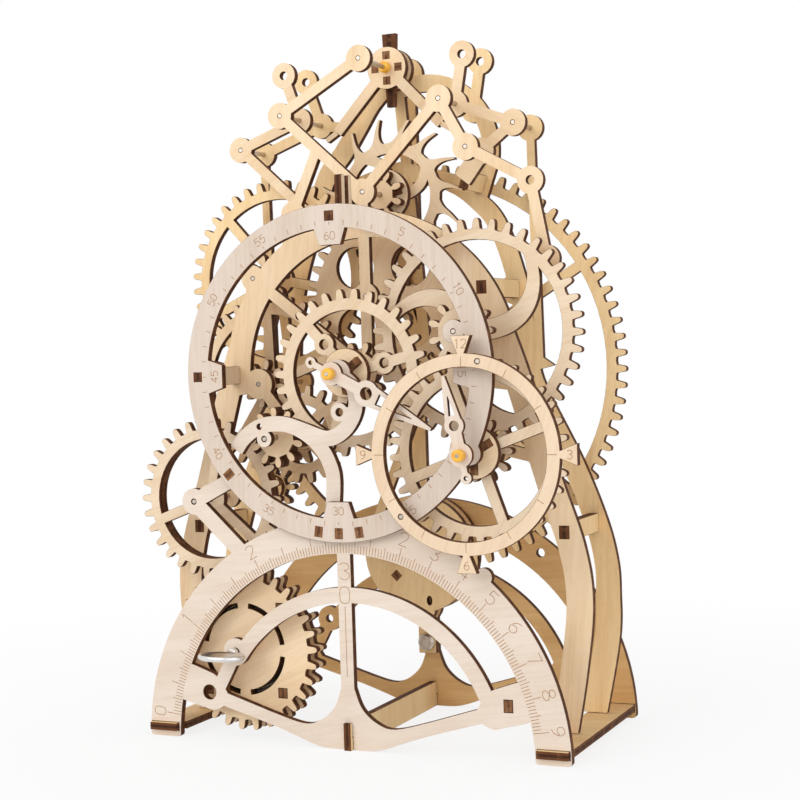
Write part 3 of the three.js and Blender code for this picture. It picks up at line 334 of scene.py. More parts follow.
def smooth(route, steps):
    # even-step curve through all the points
    last = len(route) - 1
    points = []
    for i in range(steps + 1):
        t = last * i / steps
        n = min(int(t), last - 1)
        w = t - n
        p = [Vector(route[max(0, min(last, n + k))]) for k in (-1, 0, 1, 2)]
        a, b = (p[2] - p[0]) * 0.5, (p[3] - p[1]) * 0.5
        cubic, square = 2 * p[1] - 2 * p[2] + a + b, -3 * p[1] + 3 * p[2] - 2 * a - b
        points.append(cubic * w ** 3 + square * w * w + a * w + p[1])
    return points


def strip(route, width, steps=roundSteps["strip"], farWidth=None):
    far = width if farWidth is None else farWidth
    points = smooth(route, steps)
    left, right = [], []
    for i, p in enumerate(points):
        along = (points[min(i + 1, steps)] - points[max(i - 1, 0)]).normalized()
        across = Vector((-along.y, along.x)) * (width + (far - width) * i / steps) / 2
        left.append(tuple(p + across))
        right.append(tuple(p - across))
    return left + right[::-1]


def rounded(points, radius, only):
    # the corners listed are eased with short curves
    out = []
    steps = roundSteps["corner"]
    for i, p in enumerate(points):
        if i not in only:
            out.append(p)
            continue
        p, before, after = Vector(p), Vector(points[i - 1]), Vector(points[(i + 1) % len(points)])
        reach = min(radius, (before - p).length * 0.45, (after - p).length * 0.45)
        a = p + (before - p).normalized() * reach
        b = p + (after - p).normalized() * reach
        for t in (k / steps for k in range(steps + 1)):
            out.append(tuple(a * (1 - t) ** 2 + p * 2 * t * (1 - t) + b * t * t))
    return out


def mirrored(points):
    return [(-x, z) for x, z in points][::-1]


def mergeOutlines(adds, cuts):
    # one flat region: everything added, less everything cut
    points, loops = [], []
    for outline in adds + cuts:
        turn = sum(a[0] * b[1] - b[0] * a[1] for a, b in zip(outline, outline[1:] + outline[:1]))
        ordered = outline if turn > 0 else outline[::-1]
        loops.append(list(range(len(points), len(points) + len(ordered))))
        points += [Vector(p) for p in ordered]
    verts, _, faces, _, _, origins = delaunay_2d_cdt(points, [], loops, 1, 1e-5)
    count = len(adds)
    kept = [face for face, inside in zip(faces, origins) if inside and all(i < count for i in inside)]
    return verts, kept


planes = {
    "xz": lambda u, v, w: Vector((u, w, v)) * mm,
    "xy": lambda u, v, w: Vector((u, v, w)) * mm,
    "yz": lambda u, v, w: Vector((w, u, v)) * mm,
}


def meshFrom(bm, name, *finishes):
    bmesh.ops.recalc_face_normals(bm, faces=bm.faces[:])
    mesh = bpy.data.meshes.new(name)
    bm.to_mesh(mesh)
    bm.free()
    for finish in finishes:
        mesh.materials.append(finish)
    return mesh


def sheetMesh(name, adds, cuts, front, back, *finishes, plane="xz"):
    # plywood sheet between two depths: faces in the first material, cut walls in the second
    verts, faces = mergeOutlines(adds, cuts)
    spot = planes[plane]
    bm = bmesh.new()
    ply = bm.verts.layers.float.new("ply")
    made = {}
    for face in faces:
        for i in face:
            if i not in made:
                made[i] = bm.verts.new(spot(verts[i][0], verts[i][1], front))
        bm.faces.new([made[i] for i in face])
    shift = spot(0, 0, back) - spot(0, 0, front)
    fronts, rims = bm.faces[:], [edge for edge in bm.edges if len(edge.link_faces) == 1]
    walls = [(edge.link_loops[0].vert, edge.link_loops[0].link_loop_next.vert) for edge in rims]
    rear = {}
    for vert in bm.verts[:]:
        rear[vert] = bm.verts.new(vert.co + shift)
        rear[vert][ply] = 1.0
    for face in fronts:
        bm.faces.new([rear[vert] for vert in reversed(face.verts)])
    for a, b in walls:
        bm.faces.new([b, a, rear[a], rear[b]]).material_index = 1
    return meshFrom(bm, name, *finishes)


def place(name, mesh, body, nodes, slotName):
    # a finished piece on its body, standing for its CAD nodes
    piece = bpy.data.objects.new(name, mesh)
    scene.collection.objects.link(piece)
    return settle(piece, body, nodes, slotName)


def settle(piece, body, nodes, slotName):
    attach(piece, body)
    if nodes:
        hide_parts(*nodes)
    return piece


def plainMesh(piece, name):
    # what the modifiers give, as a plain mesh
    graph = bpy.context.evaluated_depsgraph_get()
    shown = piece.evaluated_get(graph)
    mesh = bpy.data.meshes.new_from_object(shown, preserve_all_data_layers=True, depsgraph=graph)
    old = piece.data
    piece.modifiers.clear()
    piece.data = mesh
    mesh.name = name
    bpy.data.meshes.remove(old)
    return mesh


edgeSizes = {"scorch": 0.13, "bend": 40, "sharp": 35, "keySharp": 50, "flat": 0.006}


def shaded(mesh, sharp):
    mesh.shade_smooth()
    mesh.set_sharp_from_angle(angle=math.radians(sharp))
    return mesh


def scorched(piece, name):
    # thin burnt line along every cut edge
    bm = bmesh.new()
    bm.from_mesh(piece.data)
    bmesh.ops.dissolve_limit(bm, angle_limit=edgeSizes["flat"], verts=bm.verts[:], edges=bm.edges[:],
                             delimit={"MATERIAL"})
    bm.to_mesh(piece.data)
    bm.free()
    bevel = piece.modifiers.new("scorch", "BEVEL")
    bevel.width = edgeSizes["scorch"] * mm
    bevel.segments = 1
    bevel.limit_method = "ANGLE"
    bevel.angle_limit = math.radians(edgeSizes["bend"])
    bevel.material = 1
    bevel.use_clamp_overlap = True
    shaded(plainMesh(piece, name), edgeSizes["sharp"])


def sheet(name, adds, cuts, front, back, body, nodes, tone, grain, plane="xz"):
    mesh = sheetMesh(name, adds, cuts, front, back, plywood(tone, grain), edgeFinish, plane=plane)
    piece = bpy.data.objects.new(name, mesh)
    scene.collection.objects.link(piece)
    scorched(piece, name)
    return settle(piece, body, nodes, slotOf[tone])


def joinRings(bm, rings):
    # faces between neighbouring rings, where a single point closes an end
    for a, b in zip(rings, rings[1:]):
        count = max(len(a), len(b))
        for i in range(count):
            k = (i + 1) % count
            corners = (a[i % len(a)], a[k % len(a)], b[k % len(b)], b[i % len(b)])
            bm.faces.new(list(dict.fromkeys(corners)))


def roundPin(name, origin, radius, front, back, body, nodes, finish=pinFinish, slotName="steel", ease=0.25):
    # turned pin along the depth with eased ends
    profile = [(0, front), (radius - ease, front), (radius, front + ease)]
    profile += [(radius, back - ease), (radius - ease, back), (0, back)]
    bm = bmesh.new()
    rings = []
    for r, y in profile:
        spots = arc(origin, r, 0, 360, roundSteps["pin"])[:-1] if r else [origin]
        rings.append([bm.verts.new(Vector((x, y, z)) * mm) for x, z in spots])
    joinRings(bm, rings)
    mesh = shaded(meshFrom(bm, name, finish), edgeSizes["sharp"])
    return place(name, mesh, body, nodes, slotName)


# Geometry Nodes
socketKinds = {int: "NodeSocketInt", float: "NodeSocketFloat", tuple: "NodeSocketVector"}


class Wiring:
    def __init__(self, name, sockets):
        self.tree = bpy.data.node_groups.new(name, "GeometryNodeTree")
        self.names = {}
        for label, value in sockets.items():
            kind = socketKinds.get(type(value), "NodeSocketMaterial")
            socket = self.tree.interface.new_socket(label, in_out="INPUT", socket_type=kind)
            if value is not None:
                socket.default_value = value
            self.names[label] = socket.identifier
        self.tree.interface.new_socket("Geometry", in_out="OUTPUT", socket_type="NodeSocketGeometry")
        self.source = self.tree.nodes.new("NodeGroupInput")
        self.end = self.tree.nodes.new("NodeGroupOutput")

    def take(self, label):
        return self.source.outputs[label]

    def node(self, kind, **inputs):
        made = self.tree.nodes.new(kind)
        for key, value in inputs.items():
            feed(self.tree, made.inputs[key.replace("_", " ")], value)
        return made

    def sum(self, kind, a, b=None):
        made = self.tree.nodes.new("ShaderNodeMath")
        made.operation = kind
        feed(self.tree, made.inputs[0], a)
        feed(self.tree, made.inputs[1], b)
        return made.outputs[0]

    def vector(self, x=0.0, y=0.0, z=0.0):
        return self.node("ShaderNodeCombineXYZ", X=x, Y=y, Z=z).outputs[0]

    def pick(self, index, values):
        made = self.tree.nodes.new("GeometryNodeIndexSwitch")
        made.data_type = "FLOAT"
        while len(made.index_switch_items) < len(values):
            made.index_switch_items.new()
        for socket, value in zip(list(made.inputs), [index, *values]):
            feed(self.tree, socket, value)
        return made.outputs[0]

    def around(self, radius, angle):
        x = self.sum("MULTIPLY", radius, self.sum("COSINE", angle))
        return self.vector(x, self.sum("MULTIPLY", radius, self.sum("SINE", angle)))

    def circle(self, count, radius=1.0):
        return self.node("GeometryNodeCurvePrimitiveCircle", Resolution=count, Radius=radius).outputs[0]

    def shift(self, geometry, spot):
        return self.node("GeometryNodeSetPosition", Geometry=geometry, Position=spot).outputs[0]

    def copies(self, stations, shape, turn, scale=None):
        spun = self.node("FunctionNodeEulerToRotation", Euler=self.vector(z=turn)).outputs[0]
        made = self.node("GeometryNodeInstanceOnPoints", Points=stations, Instance=shape, Rotation=spun,
                         Scale=scale)
        return self.node("GeometryNodeRealizeInstances", Geometry=made.outputs[0]).outputs[0]

    def join(self, *parts):
        made = self.tree.nodes.new("GeometryNodeJoinGeometry")
        for part in parts:
            self.tree.links.new(part, made.inputs[0])
        return made.outputs[0]

    def paint(self, geometry, label, where=None):
        made = self.node("GeometryNodeSetMaterial", Geometry=geometry, Selection=where,
                         Material=self.take(label))
        return made.outputs[0]

    def stand(self, geometry):
        # turned up into the X-Z plane, at its place
        upright = (math.pi / 2, 0, 0)
        made = self.node("GeometryNodeTransform", Geometry=geometry, Rotation=upright,
                         Translation=self.take("Place"))
        return made.outputs[0]

    def finish(self, geometry):
        self.tree.links.new(geometry, self.end.inputs[0])
        return self


# one tooth as (share of the pitch, share of the height), mirrored about its middle
wheelTooth = [(-0.27, 0.0), (-0.235, 0.28), (-0.2, 0.6), (-0.16, 0.82), (-0.08, 0.97)]
petalTooth = [(-0.17, 0.0), (-0.225, 0.34), (-0.21, 0.62), (-0.155, 0.85), (-0.065, 0.99)]
treeSteps = {"side": 16, "bore": 28, "merge": 1e-6}


def wholeTooth(half):
    return half + [(-share, rise) for share, rise in half[::-1]] + [(0.5, -0.05)]


def toothedTree(name, half):
    # toothed sheet with windows between swept arms and a bore
    profile = wholeTooth(half)
    w = Wiring(name, {
        "Teeth": 30, "Root Radius": 0.03, "Tip Radius": 0.034, "Phase": 0.0, "Arms": 0, "Arm Width": 0.004,
        "Arm Turn": 0.0, "Arm Sweep": 0.0, "Hub Radius": 0.006, "Rim Inside": 0.025, "Bore": 0.0013,
        "Thickness": 0.003, "Place": (0.0, 0.0, 0.0), "Face Wood": None, "Cut Edge": None,
    })
    index = w.node("GeometryNodeInputIndex").outputs[0]
    count = len(profile)
    # tooth outline
    step = w.sum("MODULO", index, count)
    tooth = w.sum("FLOOR", w.sum("DIVIDE", index, count))
    share, rise = (w.pick(step, column) for column in zip(*profile))
    turns = w.sum("DIVIDE", w.sum("ADD", tooth, share), w.take("Teeth"))
    angle = w.sum("ADD", w.take("Phase"), w.sum("MULTIPLY", turns, 2 * math.pi))
    height = w.sum("SUBTRACT", w.take("Tip Radius"), w.take("Root Radius"))
    radius = w.sum("ADD", w.take("Root Radius"), w.sum("MULTIPLY", height, rise))
    outline = w.shift(w.circle(w.sum("MULTIPLY", w.take("Teeth"), count)), w.around(radius, angle))
    # one window: round the rim, in along the next arm, back round the hub, out along the first arm
    side = treeSteps["side"]
    leg = w.sum("FLOOR", w.sum("DIVIDE", index, side))
    part = w.sum("DIVIDE", w.sum("MODULO", index, side), side)
    back = w.sum("SUBTRACT", 1.0, part)
    reach = w.pick(leg, [1.0, back, 0.0, part])
    outward, inward = (w.sum("SUBTRACT", w.sum("MULTIPLY", way, 2.0), 1.0) for way in (part, back))
    swing = w.pick(leg, [outward, 1.0, inward, -1.0])
    span = w.sum("SUBTRACT", w.take("Rim Inside"), w.take("Hub Radius"))
    out = w.sum("ADD", w.take("Hub Radius"), w.sum("MULTIPLY", span, reach))
    pitch = w.sum("DIVIDE", math.pi, w.sum("MAXIMUM", w.take("Arms"), 1.0))
    thin = w.sum("ARCSINE", w.sum("DIVIDE", w.take("Arm Width"), w.sum("MULTIPLY", out, 2.0)))
    swung = w.sum("MULTIPLY", swing, w.sum("SUBTRACT", pitch, thin))
    far = w.sum("DIVIDE", out, w.take("Rim Inside"))
    swept = w.sum("MULTIPLY", w.take("Arm Sweep"), w.sum("MULTIPLY", far, far))
    turn = w.sum("ADD", w.sum("ADD", w.take("Arm Turn"), pitch), w.sum("ADD", swept, swung))
    window = w.shift(w.circle(4 * side), w.around(out, turn))
    stations = w.node("GeometryNodePoints", Count=w.take("Arms")).outputs[0]
    windows = w.copies(stations, window, w.sum("MULTIPLY", w.sum("MULTIPLY", index, pitch), 2.0))
    # the sheet with its veneers and cut walls
    bore = w.circle(treeSteps["bore"], w.take("Bore"))
    flat = w.node("GeometryNodeFillCurve", Curve=w.join(outline, windows, bore))
    flat.mode = "TRIANGLES"
    flat = flat.outputs[0]
    raised = w.node("GeometryNodeExtrudeMesh", Mesh=flat, Offset=(0, 0, 1), Offset_Scale=w.take("Thickness"))
    raised.inputs["Individual"].default_value = False
    wood = w.paint(w.paint(raised.outputs[0], "Face Wood"), "Cut Edge", raised.outputs[2])
    under = w.paint(w.node("GeometryNodeFlipFaces", Mesh=flat).outputs[0], "Face Wood")
    closed = w.node("GeometryNodeMergeByDistance", Geometry=w.join(wood, under), Distance=treeSteps["merge"])
    high = w.node("ShaderNodeSeparateXYZ", Vector=w.node("GeometryNodeInputPosition").outputs[0]).outputs[2]
    layer = w.sum("DIVIDE", high, w.take("Thickness"))
    marked = w.node("GeometryNodeStoreNamedAttribute", Geometry=closed.outputs[0], Name="ply", Value=layer)
    marked.data_type = "FLOAT"
    marked.domain = "POINT"
    return w.finish(w.stand(marked.outputs[0]))


def tickTree(name):
    # engraved ticks round an axis, some of them longer
    w = Wiring(name, {
        "Count": 60, "Radius": 0.05, "Start": 0.0, "Step": 0.1, "Length": 0.002, "Width": 0.0003,
        "Proud": 0.00003, "Mid Every": 5, "Mid Length": 0.003, "Long Every": 10, "Long Length": 0.004,
        "Place": (0.0, 0.0, 0.0), "Line": None,
    })
    index = w.node("GeometryNodeInputIndex").outputs[0]
    length = w.take("Length")
    for kind in ("Mid", "Long"):
        chosen = w.sum("COMPARE", w.sum("MODULO", index, w.take(f"{kind} Every")), 0.0)
        extra = w.sum("MULTIPLY", chosen, w.sum("SUBTRACT", w.take(f"{kind} Length"), length))
        length = w.sum("ADD", length, extra)
    angle = w.sum("ADD", w.take("Start"), w.sum("MULTIPLY", index, w.take("Step")))
    spot = w.around(w.sum("ADD", w.take("Radius"), w.sum("DIVIDE", length, 2.0)), angle)
    stations = w.node("GeometryNodePoints", Count=w.take("Count"), Position=spot).outputs[0]
    size = w.vector(length, w.take("Width"), w.sum("MULTIPLY", w.take("Proud"), 2.0))
    cut = w.node("GeometryNodeMeshCube").outputs[0]
    return w.finish(w.paint(w.stand(w.copies(stations, cut, angle, size)), "Line"))


wheelWiring = toothedTree("toothed_wheel", wheelTooth)
petalWiring = toothedTree("petal_pinion", petalTooth)
tickWiring = tickTree("engraved_ticks")


def grow(name, wiring, values):
    # an object that a tree makes, as a plain mesh
    piece = bpy.data.objects.new(name, bpy.data.meshes.new(name))
    scene.collection.objects.link(piece)
    modifier = piece.modifiers.new(wiring.tree.name, "NODES")
    modifier.node_group = wiring.tree
    for label, value in values.items():
        modifier[wiring.names[label]] = value
    plainMesh(piece, name)
    return piece


toothSizes = {
    "module": 2.07, "addendum": 1.8, "dedendum": 2.3, "rim": 4.2, "hub": 6.5, "arm": 4.2, "rooted": 1,
    "footShare": 0.3, "overlap": 0.2,
}
teeth = {
    "first": 30, "barrel": 30, "inter": 18, "minute": 30, "motion": 40, "hour": 33, "second": 34, "third": 39,
    "fourth": 32, "rear": 80,
}
pinionTeeth = {
    "first": 8, "inter": 10, "minute": 10, "motion": 11, "hour": 10, "second": 8, "third": 8, "fourth": 11,
    "escape": 8,
}


def toothRadii(count):
    pitch = toothSizes["module"] * count / 2
    return pitch - toothSizes["dedendum"], pitch + toothSizes["addendum"]


def toothedPiece(name, wiring, count, s, front, back, body, nodes, bore):
    t, axis = toothSizes, axes[body]
    root, tip = toothRadii(count)
    piece = grow(name, wiring, {
        "Teeth": count, "Root Radius": root * mm, "Tip Radius": tip * mm, "Phase": s["phase"],
        "Arms": s.get("arms", 0), "Arm Width": s.get("width", t["arm"]) * mm,
        "Arm Turn": math.radians(s.get("turn", 0)), "Arm Sweep": math.radians(s.get("sweep", 0)),
        "Hub Radius": t["hub"] * mm, "Rim Inside": (root - t["rim"]) * mm, "Bore": bore * mm,
        "Thickness": (back - front) * mm, "Place": (axis[0] * mm, back * mm, axis[1] * mm),
        "Face Wood": plywood(s["tone"], s["grain"]), "Cut Edge": edgeFinish,
    })
    scorched(piece, name)
    return settle(piece, body, nodes, slotOf[s["tone"]])


def toothPoints(count, phase, axis, tooth, shares):
    # points of one tooth's profile about an axis
    root, tip = toothRadii(count)
    turn = math.degrees(phase)
    return [polar(axis, root + (tip - root) * rise, turn + 360 * (tooth + share) / count)
            for share, rise in shares]


def toothLine(count, phase, axis):
    # the whole tooth outline as points
    return [p for i in range(count) for p in toothPoints(count, phase, axis, i, wholeTooth(wheelTooth))]


def toothCrown(count, phase, axis):
    # each tooth as its own outline, rooted a little inside the rim
    t = toothSizes
    root, tip = toothRadii(count)
    deep = -t["rooted"] / (tip - root)
    shares = wholeTooth(wheelTooth)[:-1] + [(share, deep) for share in (t["footShare"], -t["footShare"])]
    return [toothPoints(count, phase, axis, i, shares) for i in range(count)]


def meshPhase(teethA, phaseA, a, teethB, b):
    # turns the second wheel so that a gap meets the first one's tooth
    axisA, axisB = axes[a], axes[b]
    line = math.atan2(axisB[1] - axisA[1], axisB[0] - axisA[0])
    turns = 0.5 - teethA * (phaseA - line) / (2 * math.pi)
    return line + math.pi + 2 * math.pi * turns / teethB


firstPhase = 0.0
barrelPhase = meshPhase(teeth["first"], firstPhase, "first", teeth["barrel"], "barrel")
interPhase = meshPhase(teeth["first"], firstPhase, "first", pinionTeeth["inter"], "inter")
minutePhase = meshPhase(pinionTeeth["inter"], interPhase, "inter", teeth["minute"], "minute")
motionPhase = meshPhase(pinionTeeth["minute"], 0, "minute", teeth["motion"], "motion")
hourPhase = meshPhase(pinionTeeth["motion"], 0, "motion", teeth["hour"], "hour")
secondPinionPhase = meshPhase(teeth["inter"], 0, "inter", pinionTeeth["second"], "second")
thirdPinionPhase = meshPhase(teeth["second"], 0, "second", pinionTeeth["third"], "third")
fourthPinionPhase = meshPhase(teeth["third"], 0, "third", pinionTeeth["fourth"], "fourth")
escapePinionPhase = meshPhase(teeth["fourth"], 0, "fourth", pinionTeeth["escape"], "escape")
rearPhase = meshPhase(pinionTeeth["first"], 0, "first", teeth["rear"], "rear")
print("trees and outlines ready")

# frames and base
archSizes = {
    "radius": 90, "width": 14, "bandX": 2, "bandR": 63, "bandWidth": 6, "bandSpan": (20, 146), "post": 5.6,
    "postFoot": 0.167, "hub": 5.5, "rest": (-0.644, 0.222), "hole": 3.1, "holePlace": (-0.686, 0.211),
    "baseZ": 2.6, "baseInner": 75, "baseInset": 0.5, "tab": 12.4, "tabProud": 2, "sparHeight": 10.6,
    "sparOver": 20, "seat": 0.3, "footEase": 2, "bellyEase": 10, "sideEase": 3,
    "peg": (65.9, 20.9, 3.2, 4.4), "backHole": (84, 53, 1.9), "ear": (0.6, 50, 3.4),
    "belly": [(0, 0), (0.133, 0), (0.347, 0.078), (0.7, 0.177), (0.7, 0.243)],
    "crotch": [(0.383, 0.144), (0.222, 0.102), (0.137, 0.12), (0.066, 0.18), (0.031, 0.267)],
    "side": [(0.614, 0.153), (0.66, 0.128), (0.836, 0.172), (0.878, 0.222), (0.867, 0.333), (0.786, 0.337),
             (0.644, 0.288), (0.594, 0.211)],
}


def archOutlines(s):
    r = s["radius"]
    scaled = lambda points: [(x * r, z * r) for x, z in points]
    right = scaled(s["belly"]) + [tuple(p) for p in smooth(scaled(s["crotch"]), roundSteps["crotch"])]
    belly = right + mirrored(right)[:-1]
    side = rounded(scaled(s["side"]), s["sideEase"], range(1, 7))
    rest, hole = scaled([s["rest"], s["holePlace"]])
    room = 2 * s["seat"]
    adds = [
        band(middle, r, s["width"], 0, 180, s["footEase"]),
        band((s["bandX"], 0), s["bandR"], s["bandWidth"], *s["bandSpan"]),
        bar((0, s["postFoot"] * r), (0, r - s["width"] / 2), s["post"]),
        disc(barrelAxis, s["hub"]), bar(barrelAxis, rest, s["post"]),
        rounded(belly, s["bellyEase"], (1, 2, len(belly) - 2, len(belly) - 1)),
        side, mirrored(side),
    ]
    cuts = [disc(barrelAxis, boreSizes["winding"]), disc(hole, s["hole"])]
    cuts.append(block(middle, boardThick + room, s["sparHeight"]))
    x, z, wide, high = s["peg"]
    cuts.append(block((x, z), wide + room, high + room))
    for way in (-1, 1):
        tab = (way * (r - s["width"] / 2), s["baseZ"] + boardThick / 2)
        cuts.append(block(tab, s["tab"] + room, boardThick + room))
    return adds, cuts


bridgeSizes = {
    "width": 6, "reach": 44, "bracket": 6.6, "strut": 4.6, "link": 4.2, "lug": 3.2, "bearing": 5.3,
    "ring": 3.6, "ringHole": 1.7, "seat": 4.2, "bracketTurn": 120.4, "footTurn": 93.2, "stub": 20.8,
    "stubTurn": 26.6,
    "bridge": [(-1.04, -0.664), (-0.953, -0.556), (-0.796, -0.456), (-0.605, -0.432), (-0.437, -0.467),
               (-0.288, -0.553), (-0.181, -0.66), (-0.114, -0.773), (-0.075, -0.942)],
    "swan": [(-0.437, -0.467), (-0.303, -0.513), (-0.201, -0.551), (-0.114, -0.566), (-0.019, -0.538),
             (0.08, -0.46), (0.147, -0.347), (0.165, -0.23), (0.13, -0.1)],
    "ringPlace": (0.004, -0.338), "strutSpot": 2, "ringSpot": 6,
}


def ray(origin, reach, turn, width):
    return bar(origin, polar(origin, reach, turn), width)


def frontArch(s, b):
    adds, cuts = archOutlines(s)
    spot = lambda p: (minuteAxis[0] + p[0] * b["reach"], minuteAxis[1] + p[1] * b["reach"])
    bridge, swan = ([spot(p) for p in b[key]] for key in ("bridge", "swan"))
    ring, strutFoot = spot(b["ringPlace"]), bridge[b["strutSpot"]]
    rim = s["radius"] - b["seat"]
    earIn, earTurn, ear = s["ear"]
    adds += [
        disc(firstAxis, b["bearing"]), ray(firstAxis, b["stub"], b["stubTurn"], b["width"]),
        bar(firstAxis, polar(middle, rim, b["bracketTurn"]), b["bracket"]),
        strip(bridge + [polar(middle, rim, b["footTurn"])], b["width"]),
        strip(swan + [minuteAxis], b["width"]),
        disc(minuteAxis, b["bearing"]), disc(interAxis, b["lug"]), bar(interAxis, strutFoot, b["strut"]),
        disc(ring, b["ring"]), bar(ring, swan[b["ringSpot"]], b["link"]),
        disc(polar(middle, s["radius"] - earIn, earTurn), ear),
    ]
    cuts += [disc(axis, boreSizes["arbor"]) for axis in (firstAxis, minuteAxis, interAxis, strutFoot)]
    cuts.append(disc(ring, b["ringHole"]))
    sheet("frontArchFrame", adds, cuts, *depths("front_arch_frame"), "frame", ["front_arch_frame"], "pale", 8)


def backArch(s):
    adds, cuts = archOutlines(s)
    reach, turn, hole = s["backHole"]
    cuts.append(disc(polar(middle, reach, turn), hole))
    # the back arch's darker amber tone is partly its own colour, partly painted shade
    sheet("backArchFrame", adds, cuts, *depths("back_arch_frame"), "frame", ["back_arch_frame"], "amber", 4)


def baseBar(s, way, node):
    low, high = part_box(node)
    front, back = depths("front_arch_frame")[0] - s["tabProud"], depths("back_arch_frame")[1] + s["tabProud"]
    inset = s["tabProud"] + boardThick + s["seat"]
    inFront, inBack = front + inset, back - inset
    tab, half = s["radius"] - s["width"] / 2, s["tab"] / 2
    inner, outer = s["baseInner"], s["radius"] - s["baseInset"]
    outline = [
        (inner, inFront), (tab - half, inFront), (tab - half, front), (tab + half, front),
        (tab + half, inFront), (outer, inFront), (outer, inBack), (tab + half, inBack), (tab + half, back),
        (tab - half, back), (tab - half, inBack), (inner, inBack),
    ]
    outline = [(way * x, y) for x, y in outline]
    sheet(f"{node}_board", [outline], [], low.z / mm, high.z / mm, "frame", [node], "straw", 0, "xy")


def centreSpar(s):
    low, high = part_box("centre_spar")
    lap = s["sparHeight"] / 2 - s["seat"]
    cuts = []
    for a, b in (depths("front_arch_frame"), depths("back_arch_frame")):
        cuts.append(oblong((a - s["seat"], lap), (b + s["seat"], s["sparOver"])))
    outline = oblong((low.y / mm, 0), (high.y / mm, s["sparHeight"]))
    sheet("centreSpar", [outline], cuts, low.x / mm, high.x / mm, "frame", ["centre_spar"], "tan", 90, "yz")


frontArch(archSizes, bridgeSizes)
backArch(archSizes)
baseBar(archSizes, -1, "base_bar_left")
baseBar(archSizes, 1, "base_bar_right")
centreSpar(archSizes)
print("arches and base made")

# movement plates and the linkage on top
plateSizes = {
    "ring": 64, "ringWidth": 10.5, "ringSpan": (-8, 188), "leg": 10.5, "footX": 77, "legTurn": 12.2,
    "legFoot": 5.9, "legCut": (200, 30), "link": 4.2, "strut": 4.6, "wideStrut": 6.6, "lobe": 6.3,
    "bearing": 5.3, "openHole": 1.8, "thirdTurn": 150, "secondTurn": 184, "motionTurn": 16.3,
    "kneeTurn": 128, "hourStub": (17.6, -13), "firstStub": (11.4, 180), "barrelStub": (36, 165),
    "freeHole": (38, 142), "windingHole": 1.6, "reach": 41, "branch": 0.45, "rearArch": 32.5,
    "rearArchWidth": 7, "archPlace": (0.29, -0.856), "archSpan": (-14, 112), "archFoot": -10,
    "rearTopDrop": 41.1, "rearTopWidth": 7, "limb": 8.5, "hanger": 3.4, "hangerLean": 1.2, "hangerDrop": 1,
    "stub": 7.5, "topPillar": (4, 7.3), "topPillarTurn": -18, "slot": (4.2, 5.2), "postSlot": 3.8,
    "postSide": 3.6, "tabHalf": 2.5, "tabLength": 3.3, "fork": 3, "forkFront": 5.4, "forkStep": 6,
    "forkEase": 0.9,
    "frontBows": [(0.178, 0.056), (0.349, 0.098), (0.482, 0.099), (0.653, 0.065), (0.888, 0.025)],
    "rearBows": [(0.154, 0.084), (0.236, 0.116), (0.293, 0.133), (0.363, 0.14), (0.464, 0.135),
                 (0.582, 0.117), (0.648, 0.12), (0.77, 0.148), (0.884, 0.151), (0.934, 0.129),
                 (0.972, 0.087)],
    "limbRoute": [(-0.073, -0.088), (-0.293, -0.295), (-0.463, -0.539), (-0.634, -0.783), (-0.829, -1.015),
                  (-1, -1.454)],
    "fin": [(-5.25, 2.6), (3.67, 2.6), (11, -2.5), (0, -5), (-5.25, -10)],
}
linkPlaces = {
    "b": (-0.878, -0.48), "c": (-1.566, -0.724), "d": (-1.039, -0.012), "f": (0.824, -0.461),
    "g": (1.085, -0.937), "h": (0.91, 0.01), "i": (1.415, -0.69), "j": (1.722, -1.295),
    "k": (-0.765, -1.46), "l": (1.859, -2.029), "m": (0.878, -1.198),
}


def linkPoint(x, z):
    return (anchorAxis[0] + x * plateSizes["reach"], anchorAxis[1] + z * plateSizes["reach"])


link = {key: linkPoint(x, z) for key, (x, z) in linkPlaces.items()}
pillarNodes = ("pillar_left", "pillar_right", "pillar_upper")
pillarPlaces = [boxPlace(node) for node in pillarNodes]
topPostPlace = (boxPlace("dial_post_top")[0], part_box("dial_post_top")[0].z / mm + plateSizes["postSide"] / 2)
postPlaces = [topPostPlace, boxPlace("dial_post_left")]
postSlots = [block(p, plateSizes["postSlot"], plateSizes["postSlot"]) for p in postPlaces]
pillarSlots = [block(p, *plateSizes["slot"]) for p in pillarPlaces]


def discs(points, radius):
    return [disc(p, radius) for p in points]


def chain(keys, s):
    points = [link.get(key) or axes[key] for key in keys]
    return discs(points, s["bearing"]) + [bar(a, b, s["link"]) for a, b in zip(points, points[1:])]


def legRoute(top, bows, s):
    rise = [(s["footX"] + (top[0] - s["footX"]) * up + top[1] * out, top[1] * up) for up, out in bows]
    return [(s["footX"], 0)] + rise + [top]


def legs(route, s, topWidth):
    right = strip(route, s["leg"], roundSteps["leg"], topWidth)
    wide, low = s["legCut"]
    return [right, mirrored(right)], [oblong((-wide, -low), (wide, s["legFoot"]))]


